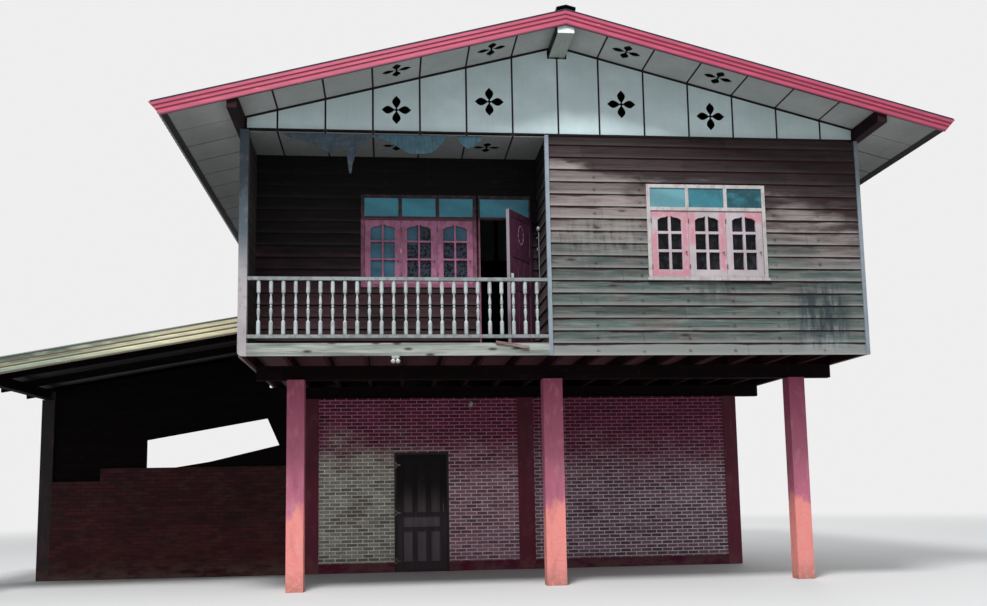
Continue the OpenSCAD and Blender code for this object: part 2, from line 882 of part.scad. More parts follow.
ceiling_y0 = front_y + panel_t;
post_gap = 1;
batten_w = 60;

module veranda_ceiling() {
    xs = concat([-inner_x], [for (x = panel_xs) if (x < return_x && x > -inner_x + 100) x], [return_x]);
    y_mid = (ceiling_y0 + vwall_y) / 2;
    color("#8A8A84")
    for (i = [0:len(xs) - 2]) {
        x0 = xs[i] + (i == 0 ? 0 : joint_w / 2);
        x1 = xs[i + 1] - (i == len(xs) - 2 ? 0 : joint_w / 2);
        translate([0, 0, floor_z + ceiling_h]) linear_extrude(panel_t)
        difference() {
            translate([x0, ceiling_y0]) square([x1 - x0, vwall_y - ceiling_y0]);
            translate([-half_w, front_y]) square(veranda_post_w + post_gap);
            translate([divider_x - post_gap, front_y]) square(corner_w + post_gap);
            if (has_flower((x0 + x1) / 2)) translate([(x0 + x1) / 2, y_mid]) flower();
        }
    }
}

// Battens over the ceiling's joints, from the tie beam to the veranda's back wall
module ceiling_battens() {
    foot = floor_z + ceiling_h + panel_t;
    color("#3A2A30")
    for (x = panel_xs)
        if (x < return_x - batten_w && x > -inner_x + batten_w)
            block([x - batten_w / 2, x + batten_w / 2], [ceiling_y0, vwall_y + wall_t], [foot, plate_z]);
}

// Gables

flower_xs = [-3.5 * panel_pitch, -1.5 * panel_pitch,
             right_joint + panel_pitch / 2, right_joint + 2.5 * panel_pitch];
function has_flower(x) = len([for (f = flower_xs) if (abs(f - x) < panel_pitch / 4) f]) > 0;
panel_edges = concat([-half_w], panel_xs, [half_w]);

beam_gap = 25;
gable_head_gap = 32;
gable_foot_gap = 18;

// Outlines of the ridge beam and the wall plates, let out by a gap
module beam_outlines(gap) {
    w = ridge_w / 2 + gap;
    x0 = half_w - plate_w / 2 - gap;
    translate([-w, ridge_z - ridge_drop - gap]) square([2 * w, 2 * ridge_drop]);
    for (x = [x0, -x0 - plate_w])
        translate([x, plate_z - 1]) square([plate_w, 2 * ridge_drop]);
}

module gable_panel_set() {
    for (i = [0:len(panel_edges) - 2]) {
        x0 = panel_edges[i] + (i == 0 ? 0 : joint_w / 2);
        x1 = panel_edges[i + 1] - (i == len(panel_edges) - 2 ? 0 : joint_w / 2);
        mid = (x0 + x1) / 2;
        plate(front_y, panel_t)
        difference() {
            polygon([[x0, plate_z + gable_foot_gap], [x1, plate_z + gable_foot_gap],
                     [x1, under_soffit(x1) - gable_head_gap], [x0, under_soffit(x0) - gable_head_gap]]);
            beam_outlines(beam_gap);
            if (has_flower(mid))
                translate([mid, plate_z + (soffit_z(mid) - plate_z) * flower_share]) flower();
        }
    }
}

module gable_panels() {
    color("#B8C4C0") both_gables() gable_panel_set();
}

stud_w = 60;
stud_d = 50;
tie_h = 90;

// Frame behind the gable panels, dark in their joints: a tie beam, a stud behind each
// joint, a post under the ridge beam and a rail under each slope
module gable_studs() {
    rail_x0 = ridge_w / 2 + seat_gap;
    rail_x1 = half_w - plate_w / 2 - seat_gap;
    color("#2A1A22")
    both_gables() plate(front_y + panel_t, stud_d)
    union() {
        translate([-half_w + plate_w, plate_z]) square([2 * (half_w - plate_w), tie_h]);
        for (x = panel_xs) {
            top = abs(x) < ridge_w ? ridge_z - ridge_drop - seat_gap : soffit_z(x) - stud_w / 2;
            translate([x - stud_w / 2, plate_z]) square([stud_w, top - plate_z]);
        }
        for (side = [0, 1])
            mirror([side, 0]) slope_band(rail_x0, rail_x1, -stud_w, -seat_gap);
    }
}

soffit_edges = concat([-soffit_x], panel_xs, [soffit_x]);

module gable_soffit_panels() {
    y_mid = (roof_y0 + fascia_t + front_y) / 2;
    color("#8A8A84")
    both_gables()
    for (i = [0:len(soffit_edges) - 2]) {
        x0 = soffit_edges[i] + (i == 0 ? 0 : joint_w / 2);
        x1 = soffit_edges[i + 1] - (i == len(soffit_edges) - 2 ? 0 : joint_w / 2);
        mid = (x0 + x1) / 2;
        side = mid < 0 ? -1 : 1;
        difference() {
            run_y(roof_y0 + fascia_t, front_y)
                polygon([[x0, soffit_z(x0)], [x1, soffit_z(x1)],
                         [x1, soffit_z(x1) + panel_t], [x0, soffit_z(x0) + panel_t]]);
            if (has_flower(mid))
                translate([mid, y_mid, soffit_z(mid) - 60]) linear_extrude(140) flower();
        }
    }
}

module eave_soffit_panels() {
    n = round(house_d / panel_pitch);
    pitch = house_d / n;
    color("#8A8A84")
    both_sides()
    for (i = [0:n - 1])
        run_y(front_y + i * pitch + joint_w / 2, front_y + (i + 1) * pitch - joint_w / 2)
            slope_band(half_w + plate_w / 2, soffit_x, 0, panel_t);
}

// Battens over the joints of the gable soffits, the one at the ridge with a peaked foot
module soffit_battens() {
    low = panel_t + seat_gap;
    high = panel_t + rafter_h;
    w = batten_w / 2;
    color("#3A2A30")
    both_gables()
    for (x = panel_xs)
        run_y(roof_y0 + fascia_t, front_y)
            polygon([[x - w, soffit_z(x - w) + low], [x, soffit_z(x) + low], [x + w, soffit_z(x + w) + low],
                     [x + w, soffit_z(x + w) + high], [x, soffit_z(x) + high], [x - w, soffit_z(x - w) + high]]);
}

// Roof

module ridge_beam() {
    w = ridge_w / 2;
    color("#C8CCC8")
    run_y(roof_y0 + fascia_t, roof_y1 - fascia_t)
        polygon([[-w, ridge_z - ridge_drop], [w, ridge_z - ridge_drop], [w, under_soffit(w)],
                 [0, under_soffit(0)], [-w, under_soffit(w)]]);
}

module wall_plates() {
    x0 = half_w - plate_w / 2;
    x1 = x0 + plate_w;
    color("#3A2A30")
    both_sides()
    run_y(roof_y0 + fascia_t, roof_y1 - fascia_t)
        polygon([[x0, plate_z], [x1, plate_z], [x1, under_soffit(x1)], [x0, under_soffit(x0)]]);
}

rafter_w = 50;
rafter_pitch = 1250;

module rafters() {
    n = ceil((house_d - 2 * panel_t - rafter_w) / rafter_pitch);
    pitch = (house_d - 2 * panel_t - rafter_w) / n;
    step_x = half_w + plate_w / 2;
    ridge_gap = 0.5;
    color("#4A3438")
    both_sides()
    for (i = [0:n]) {
        y = front_y + panel_t + i * pitch;
        run_y(y, y + rafter_w) {
            slope_band(ridge_gap, soffit_x, panel_t + seat_gap, panel_t + rafter_h);
            slope_band(ridge_gap, step_x, 0, panel_t + 1);
        }
    }
}

purlin_w = 60;
purlin_n = 5;
purlin_x0 = cap_w;
purlin_x1 = soffit_x - purlin_w;

module purlins() {
    low = panel_t + rafter_h + seat_gap;
    color("#4A3438")
    both_sides()
    for (i = [0:purlin_n - 1])
        let (x = purlin_x0 + i * (purlin_x1 - purlin_x0) / (purlin_n - 1))
        run_y(roof_y0 + fascia_t, roof_y1 - fascia_t)
            slope_band(x - purlin_w / 2, x + purlin_w / 2, low, sheet_rise - seat_gap);
}

// Section of a sheet of length l with flat crests and valleys
module wave_section(l) {
    n = round(l / wave_pitch);
    p = l / n;
    low = [for (i = [0:n - 1]) each [[i * p, 0], [(i + 0.2) * p, 0], [(i + 0.5) * p, wave_h],
                                     [(i + 0.7) * p, wave_h]]];
    top = [for (i = [len(low) - 1:-1:0]) [low[i][0], low[i][1] + sheet_t]];
    polygon(concat(low, [[l, 0], [l, sheet_t]], top));
}

eave_lip = 170;
sheet_over = 10;
sheet_reach = soffit_x + eave_lip;

module roof_sheet() {
    l = sheet_reach / cos(roof_angle);
    translate([0, roof_y0 - sheet_over, ridge_z + sheet_rise])
    rotate([0, roof_angle, 0])
    rotate([90, 0, 90])
    linear_extrude(l) wave_section(roof_y1 - roof_y0 + 2 * sheet_over);
}

module roof_sheets() {
    color("#5A5470")
    both_sides()
    difference() {
        roof_sheet();
        block([-cap_w, 2], [roof_y0 - cap_w, roof_y1 + cap_w], [ridge_z, ridge_z + 2 * sheet_rise]);
    }
}

// Folded sheet that stands over the crests on a turned-down lip at each edge
module ridge_cap() {
    t = 4;
    lift = 30;
    x1 = cap_w - t;
    z0 = ridge_z + sheet_rise + (wave_h + sheet_t) / cos(roof_angle) + seat_gap;
    z1 = z0 - slope * cap_w;
    color("#4A4060")
    run_y(roof_y0 - sheet_over, roof_y1 + sheet_over)
        polygon([[-cap_w, z1], [-cap_w, z1 + lift], [0, z0 + lift], [cap_w, z1 + lift], [cap_w, z1],
                 [x1, z1 + slope * t], [x1, z1 + lift - t], [0, z0 + lift - t], [-x1, z1 + lift - t],
                 [-x1, z1 + slope * t]]);
}

// Section of a moulded board of height h with two grooves along its face
module grooved_section(t, h, d) {
    g = h / 14;
    polygon([[0, 0], [t, 0], [t, h], [0, h], [0, h * 0.66 + g], [d, h * 0.66], [0, h * 0.66 - g],
             [0, h * 0.36 + g], [d, h * 0.36], [0, h * 0.36 - g]]);
}

end_angle = 43;
end_back = 115;

// Gable fascia: a moulded board under the sheets, cut aslant at the eave
module fascia_board() {
    h = (sheet_rise + fascia_drop) * cos(roof_angle) - seat_gap;
    tip = sheet_reach - eave_gap;
    cut_x = tip - end_back;
    side = 4 * h;
    difference() {
        translate([0, roof_y0, ridge_z - fascia_drop])
            rotate([0, roof_angle, 0]) translate([-h, 0, 0])
            rotate([90, 0, 90]) linear_extrude(tip / cos(roof_angle) + 2 * h)
            grooved_section(fascia_t, h, groove_d);
        block([-2 * h, 1], [roof_y0 - fascia_t, roof_y0 + 2 * fascia_t], [ridge_z - 2 * h, ridge_z + 2 * h]);
        translate([cut_x, roof_y0 - fascia_t, soffit_z(cut_x) - fascia_drop])
            rotate([0, end_angle, 0]) translate([0, 0, -side / 2]) cube([side, 3 * fascia_t, side]);
    }
}

module gable_fascias() {
    color("#E0708C") both_gables() both_sides() fascia_board();
}

eave_gap = 4;
// Run and rise of the leaning face of the eave boards, and how far they hang under the soffit
eave_face = [104, 128];
eave_drop = 40;
eave_board_t = 37;

// Eave board: a flat foot under the soffit's edge and a face that leans outwards
module eave_fascias() {
    x0 = soffit_x;
    x1 = sheet_reach - eave_gap - end_back;
    z1 = soffit_z(x1) - eave_drop;
    top = [x1 + eave_face[0], z1 + eave_face[1]];
    color("#3A3440")
    both_sides()
    run_y(roof_y0 + fascia_t, roof_y1 - fascia_t)
        polygon([[x0, soffit_z(x0) - 10], [x1, z1], top, top + [-eave_board_t, 14],
                 [x1 - 14, z1 + eave_board_t], [x0, soffit_z(x0) + 30]]);
}

// Lean-to

function lean_z(x) = lean_top - lean_slope * (-half_w - x);
lean_angle = atan(lean_slope);
lean_rafter_h = 100;
lean_rafter_w = 60;
lean_fascia_t = 25;
lean_beam_h = 120;
lean_beam_w = 120;
ledger_h = 160;
ledger_t = 50;

module lean_band(x0, x1, low, high) {
    polygon([[x0, lean_z(x0) + low], [x1, lean_z(x1) + low], [x1, lean_z(x1) + high], [x0, lean_z(x0) + high]]);
}

// Foot of the beam over the lean-to's posts
lean_beam_z = lean_z(-lean_post_x - lean_beam_w / 2) - lean_rafter_h - lean_beam_h;

module lean_to_posts() {
    w = lean_post_w / 2;
    color("#8C3A5C")
    for (y = [0, row_pitch])
        block([-lean_post_x - w, -lean_post_x + w], [y - w, y + w], [0, lean_beam_z]);
}

// Beam over the posts and ledger on the house wall
module lean_to_beams() {
    x0 = -lean_post_x - lean_beam_w / 2;
    x1 = x0 + lean_beam_w;
    wall_x = -half_w + post_proud;
    edge_x = -half_w - ledger_t;
    foot = lean_top - lean_rafter_h - ledger_h;
    top = -lean_rafter_h - seat_gap;
    color("#4A2A38") {
        run_y(lean_y0 + lean_fascia_t, lean_y1)
            polygon([[x0, lean_beam_z], [x1, lean_beam_z], [x1, lean_z(x1) + top], [x0, lean_z(x0) + top]]);
        run_y(lean_y0 + lean_fascia_t, lean_y1)
            polygon([[edge_x, foot], [wall_x, foot], [wall_x, lean_top + top], [edge_x, lean_z(edge_x) + top]]);
    }
}

module lean_to_rafters() {
    n = 4;
    pitch = (lean_y1 - lean_y0 - lean_fascia_t - lean_rafter_w) / (n - 1);
    color("#4A2A38")
    for (i = [0:n - 1]) {
        y = lean_y0 + lean_fascia_t + i * pitch;
        run_y(y, y + lean_rafter_w)
            lean_band(-half_w - lean_w + lean_rafter_w, -half_w, -lean_rafter_h, -seat_gap);
    }
}

module lean_to_roof_sheet() {
    l = lean_w / cos(lean_angle);
    color("#4A4A50")
    translate([-half_w, lean_y0 - sheet_over, lean_top])
    mirror([1, 0, 0])
    rotate([0, lean_angle, 0]) rotate([90, 0, 90])
    linear_extrude(l) wave_section(lean_y1 - lean_y0 + 2 * sheet_over);
}

module lean_to_fascia() {
    h = lean_fascia_h * cos(lean_angle) - seat_gap;
    t = lean_fascia_t;
    color("#B8C090")
    difference() {
        translate([-half_w, lean_y0, lean_top - lean_fascia_h])
            mirror([1, 0, 0]) rotate([0, lean_angle, 0]) translate([-h, 0, 0])
            rotate([90, 0, 90]) linear_extrude(lean_w / cos(lean_angle) + h) grooved_section(t, h, t / 3);
        block([-half_w, -half_w + 2 * h], [lean_y0 - t, lean_y0 + 2 * t], [lean_top - 2 * h, lean_top + h]);
    }
}

dado_x0 = -lean_post_x + lean_post_w / 2;
dado_step_x = dado_x0 + dado_low_w;

module lean_to_low_wall() {
    x1 = -bay_w - post_w / 2;
    color("#4A2430") plate(brick_y, brick_t)
    polygon([[dado_x0, 0], [x1, 0], [x1, dado_h], [dado_step_x, dado_h], [dado_step_x, dado_low_h],
             [dado_x0, dado_low_h]]);
}

// How far the foot of the opening's right edge stands from the house's post, and how
// far the edge leans
open_end = 402;
open_lean = 188;
// Rise of the boards under the opening, at their bend and at the right edge
open_bend_w = 1070;
open_bend_rise = 83;
open_end_rise = 332;

// Boards that close the back of the lean-to, round an opening that follows the roof
module lean_to_infill() {
    x1 = -half_w - ledger_t;
    post_x = -bay_w - post_w / 2;
    beam_x = -bay_w - beam_over - post_gap;
    open_x0 = -half_w - dado_open_w;
    open_x1 = post_x - open_end;
    tip_x = open_x1 - 1.5 * open_bend_w;
    drop = lean_top - dado_h - dado_open_h;
    top = -lean_rafter_h - seat_gap;
    color("#2A2224") plate(brick_y + brick_t / 2, 20)
    polygon([[dado_x0, dado_low_h], [dado_step_x, dado_low_h], [dado_step_x, dado_h], [open_x0, dado_h],
             [open_x0, lean_z(open_x0) - drop], [open_x1 - open_lean, lean_z(open_x1 - open_lean) - drop],
             [open_x1, dado_h + open_end_rise], [open_x1 - open_bend_w, dado_h + open_bend_rise],
             [tip_x, dado_h], [post_x, dado_h], [post_x, post_h], [beam_x, post_h], [beam_x, joist_z],
             [x1, joist_z], [x1, lean_z(x1) + top], [dado_x0, lean_z(dado_x0) + top]]);
}

ground_slab();
front_posts();
middle_posts();
rear_posts();
main_beams();
floor_joists();
floor_boards();
front_floor_edge();
side_floor_edges();
brick_wall_left_of_door();
brick_wall_right_of_door();
brick_wall_over_door();
front_right_brick_wall();
side_brick_walls();
back_brick_walls();
ground_door_frame();
ground_door_leaf();
ground_door_handle();
hinge_frame_halves();
hinge_leaf_halves();
veranda_corner_post();
corner_posts();
left_side_wall();
right_side_wall();
back_wall();
front_room_wall();
return_wall();
veranda_back_wall();
front_window_frame();
front_window_leaves();
veranda_window_frame();
veranda_window_leaves();
veranda_door_leaf();
side_and_back_windows();
transom_glass();
leaf_glass();
veranda_rails();
balusters();
veranda_ceiling();
ceiling_battens();
gable_panels();
gable_studs();
gable_soffit_panels();
soffit_battens();
eave_soffit_panels();
ridge_beam();
wall_plates();
rafters();
purlins();
roof_sheets();
ridge_cap();
gable_fascias();
eave_fascias();
lean_to_posts();
lean_to_beams();
lean_to_rafters();
lean_to_roof_sheet();
lean_to_fascia();
lean_to_low_wall();
lean_to_infill();
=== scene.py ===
"""Stilt house: the finishes, small fittings and studio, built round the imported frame."""

import logging
import math
from collections.abc import Callable
from dataclasses import dataclass, field, replace
from enum import Enum
from typing import Protocol

import bmesh
import bpy
from bpy.types import Material, NodeSocket, Object, World
from mathutils import Matrix, Vector


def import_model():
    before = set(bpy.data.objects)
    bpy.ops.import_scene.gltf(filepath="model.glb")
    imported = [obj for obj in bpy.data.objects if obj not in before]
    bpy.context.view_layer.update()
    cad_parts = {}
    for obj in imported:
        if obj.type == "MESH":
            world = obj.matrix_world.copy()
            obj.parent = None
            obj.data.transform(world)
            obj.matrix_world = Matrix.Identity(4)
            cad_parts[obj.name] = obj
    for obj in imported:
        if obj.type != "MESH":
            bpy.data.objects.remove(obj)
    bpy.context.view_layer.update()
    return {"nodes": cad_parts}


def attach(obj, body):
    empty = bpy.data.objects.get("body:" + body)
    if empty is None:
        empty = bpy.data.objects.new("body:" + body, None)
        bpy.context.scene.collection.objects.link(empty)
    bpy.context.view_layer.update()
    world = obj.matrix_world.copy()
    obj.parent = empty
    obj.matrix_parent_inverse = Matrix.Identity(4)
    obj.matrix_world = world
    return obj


log = logging.getLogger("stilt_house")

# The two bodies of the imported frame.
HOUSE = "house"
DOOR = "ground_door"

# In metres: top of the upper floor, top of its walls, and from one lap to the next.
FLOOR_Z = 3.110
PLATE_Z = 5.840
LAP_PITCH = 0.163

# Makes a MapRange node ease in and out between its two levels.
SOFT = {"interpolation_type": "SMOOTHSTEP"}

# Linear RGBA of the studio's pale background.
BACKDROP = (0.86, 0.86, 0.86, 1.0)

Point = tuple[float, float, float]
Span = tuple[float, float]
Patch = tuple[float, float, float, float]
Outline = tuple[Span, ...]
Value = float | int | tuple | NodeSocket


def srgb(code: str) -> tuple[float, float, float, float]:
    """Turn an sRGB hex colour into linear RGBA.

    Args:
        code: Six hex digits after a hash sign.

    Returns:
        The colour as four linear values.
    """
    channels = [int(code[i:i + 2], 16) / 255 for i in (1, 3, 5)]
    linear = [c / 12.92 if c <= 0.04045 else ((c + 0.055) / 1.055) ** 2.4 for c in channels]
    return (linear[0], linear[1], linear[2], 1.0)


def ripple(x: float, waves: tuple[Point, ...]) -> float:
    """Add up waves at a place; each has its height, radians to the metre and phase."""
    return sum(height * math.sin(x * rate + phase) for height, rate, phase in waves)


class Run(Enum):
    """Which way a timber's grain runs, as its axis."""

    ALONG_X = 0
    ALONG_Y = 1
    UPRIGHT = 2


class Side(Enum):
    """A way that a face looks, as an axis and a sign."""

    FRONT = ("Y", -1)
    DOWN = ("Z", -1)
    RIGHT = ("X", 1)


class Tree:
    """A node tree that is filled from code."""

    def __init__(self, owner: Material | World) -> None:
        """Empty the tree of a material or of the world.

        Args:
            owner: What the tree belongs to.
        """
        owner.use_nodes = True
        self.tree = owner.node_tree
        self.tree.nodes.clear()

    def add(self, kind: str, inputs: dict[int | str, Value] | None = None,
            out: int | str = 0, **settings: object) -> NodeSocket | None:
        """Add a node with its settings and links.

        Args:
            kind: The node's type without its common prefix.
            inputs: Values or sockets by input index or name.
            out: Which output to hand back.
            **settings: The node's own properties.

        Returns:
            The named output socket, or nothing where the node has none.
        """
        node = self.tree.nodes.new("ShaderNode" + kind)
        for key, value in settings.items():
            setattr(node, key, value)
        for key, value in (inputs or {}).items():
            if isinstance(value, NodeSocket):
                self.tree.links.new(value, node.inputs[key])
            else:
                node.inputs[key].default_value = value
        return node.outputs[out] if len(node.outputs) else None

    def backdrop_rays(self) -> NodeSocket:
        """Find the rays that show the backdrop: straight ones, and those in gloss and through glass.

        Returns:
            A mask, 1 for those rays.
        """
        rays = self.add("LightPath").node.outputs
        seen = self.add("Math", {0: rays["Is Camera Ray"], 1: rays["Is Glossy Ray"]}, operation="MAXIMUM")
        return self.add("Math", {0: seen, 1: rays["Is Transmission Ray"]}, operation="MAXIMUM")


class Paint(Tree):
    """The tree of one material, with the colour so far and the patterns that finishes share."""

    def __init__(self, name: str, base: str = "#CCCCCC") -> None:
        """Start a tree that reads the mesh's own coordinates.

        Args:
            name: The material's name.
            base: The colour that the rest is laid over.
        """
        self.material = bpy.data.materials.new(name)
        super().__init__(self.material)
        self.colour: Value = srgb(base)
        self.spot = self.add("TexCoord", out="Object")
        self.x, self.y, self.z = self.add("SeparateXYZ", {0: self.spot}).node.outputs

    def patches(self, size: Point, low: float, high: float, detail: float = 4.0,
                seed: float = 0.0) -> NodeSocket:
        """Soft-edged patches of a stated size.

        Args:
            size: Width of a patch along X, Y and Z in millimetres.
            low: Noise level at which a patch begins.
            high: Noise level at which it is full.
            detail: Octaves of finer shape in its edge.
            seed: Shift that keeps two patterns apart.

        Returns:
            A mask from 0 to 1.
        """
        scale = tuple(1000.0 / s for s in size)
        place = self.add("Mapping", {0: self.spot, 1: (seed, seed * 1.7, seed * 0.6), 3: scale})
        noise = self.add("TexNoise", {"Vector": place, "Scale": 1.0, "Detail": detail, "Roughness": 0.58})
        return self.add("MapRange", {0: noise, 1: low, 2: high}, **SOFT)

    def grain(self, run: Run, width: float, length: float, seed: float = 0.0) -> NodeSocket:
        """Long thin streaks of wood grain.

        Args:
            run: The axis that the grain follows.
            width: Width of a streak in millimetres.
            length: Length of a streak in millimetres.
            seed: Shift that keeps two patterns apart.

        Returns:
            A mask from 0 to 1.
        """
        size = [width, width, width]
        size[run.value] = length
        return self.patches(tuple(size), 0.33, 0.68, detail=5.0, seed=seed)

    def layer(self, under: Value, over: Value, mask: NodeSocket, share: float = 1.0) -> NodeSocket:
        """Lay a colour over another where a mask says.

        Args:
            under: The colour below.
            over: The colour on top.
            mask: Where the top colour lies.
            share: How much of it shows there.

        Returns:
            The mixed colour.
        """
        part = self.add("Math", {0: mask, 1: share}, operation="MULTIPLY")
        return self.add("Mix", {0: part, 6: under, 7: over}, 2, data_type="RGBA")

    def shade(self, colour: Value, mask: NodeSocket, low: float, high: float) -> NodeSocket:
        """Darken or lighten a colour between two levels by a mask.

        Args:
            colour: The colour to change.
            mask: A value from 0 to 1.
            low: Brightness where the mask is 0.
            high: Brightness where the mask is 1.

        Returns:
            The changed colour.
        """
        level = self.add("MapRange", {0: mask, 3: low, 4: high})
        return self.add("HueSaturation", {"Value": level, "Color": colour})

    def coat(self, code: str, mask: NodeSocket, share: float = 1.0) -> None:
        """Lay a plain colour over the colour so far."""
        self.colour = self.layer(self.colour, srgb(code), mask, share)

    def tone(self, mask: NodeSocket, low: float, high: float) -> None:
        """Shade the colour so far."""
        self.colour = self.shade(self.colour, mask, low, high)

    def above(self, code: str, start: float, full: float) -> None:
        """Lay a plain colour, where one is named, above a height.

        Args:
            code: The colour, or nothing.
            start: Height at which it begins.
            full: Height at which it is full.
        """
        if code:
            self.coat(code, self.add("MapRange", {0: self.z, 1: start, 2: full}, **SOFT))

    def along(self) -> NodeSocket:
        """Measure along a wall, whether it runs along X or Y."""
        return self.add("Math", {0: self.x, 1: self.y}, operation="ADD")

    def facing(self, side: Side) -> NodeSocket:
        """Find the faces that look one way.

        Args:
            side: The way that they look.

        Returns:
            A mask, 1 on those faces.
        """
        axis, sign = side.value
        normal = self.add("SeparateXYZ", {0: self.add("TexCoord", out="Normal")}, axis)
        return self.add("MapRange", {0: normal, 1: 0.5 * sign, 2: 0.8 * sign})

    def window(self, value: NodeSocket, low: float, high: float, soft: float) -> NodeSocket:
        """Keep a stretch of a coordinate.

        Args:
            value: The coordinate in metres.
            low: Where the stretch begins.
            high: Where it ends.
            soft: Width of each faded end.

        Returns:
            A mask, 1 inside the stretch.
        """
        start = self.add("MapRange", {0: value, 1: low - soft, 2: low + soft}, **SOFT)
        end = self.add("MapRange", {0: value, 1: high + soft, 2: high - soft}, **SOFT)
        return self.both(start, end)

    def rectangle(self, sides: Patch, soft_x: float, soft_z: float) -> NodeSocket:
        """Keep a rectangle of the faces that look to the front.

        Args:
            sides: Its left, right, lower and upper side.
            soft_x: Width of its faded left and right sides.
            soft_z: Width of its faded lower and upper sides.

        Returns:
            A mask, 1 inside the rectangle.
        """
        left, right, foot, head = sides
        return self.both(self.window(self.x, left, right, soft_x), self.window(self.z, foot, head, soft_z))

    def both(self, *masks: NodeSocket) -> NodeSocket:
        """Multiply masks together.

        Args:
            *masks: The masks.

        Returns:
            Their product.
        """
        product = masks[0]
        for mask in masks[1:]:
            product = self.add("Math", {0: product, 1: mask}, operation="MULTIPLY")
        return product

    def crevice(self, reach: float) -> NodeSocket:
        """Painted shade and grime: 1 in corners and under edges, 0 on open faces.

        Args:
            reach: How far a neighbouring face counts, in millimetres.

        Returns:
            A mask from 0 to 1.
        """
        open_air = self.add("AmbientOcclusion", {"Distance": reach / 1000}, "AO", samples=4)
        return self.add("MapRange", {0: open_air, 1: 0.85, 2: 0.35})

    def finish(self, roughness: Value, relief: NodeSocket | None = None, depth: float = 0.0,
               **constants: float) -> Material:
        """Close the tree with one surface shader in the colour so far.

        Args:
            roughness: Roughness of the surface.
            relief: Height pattern from 0 to 1.
            depth: Height of the relief in millimetres.
            **constants: Other shader sockets, spaces written as underscores.

        Returns:
            The finished material.
        """
        inputs = {"Base Color": self.colour, "Roughness": roughness}
        inputs |= {name.replace("_", " "): value for name, value in constants.items()}
        if relief is not None:
            inputs["Normal"] = self.add("Bump", {"Height": relief, "Distance": depth / 1000, "Strength": 1.0})
        self.add("OutputMaterial", {"Surface": self.add("BsdfPrincipled", inputs)})
        return self.material


class Finish(Protocol):
    """What every finish below can do."""

    def make(self, name: str) -> Material:
        """Build the material under its name."""


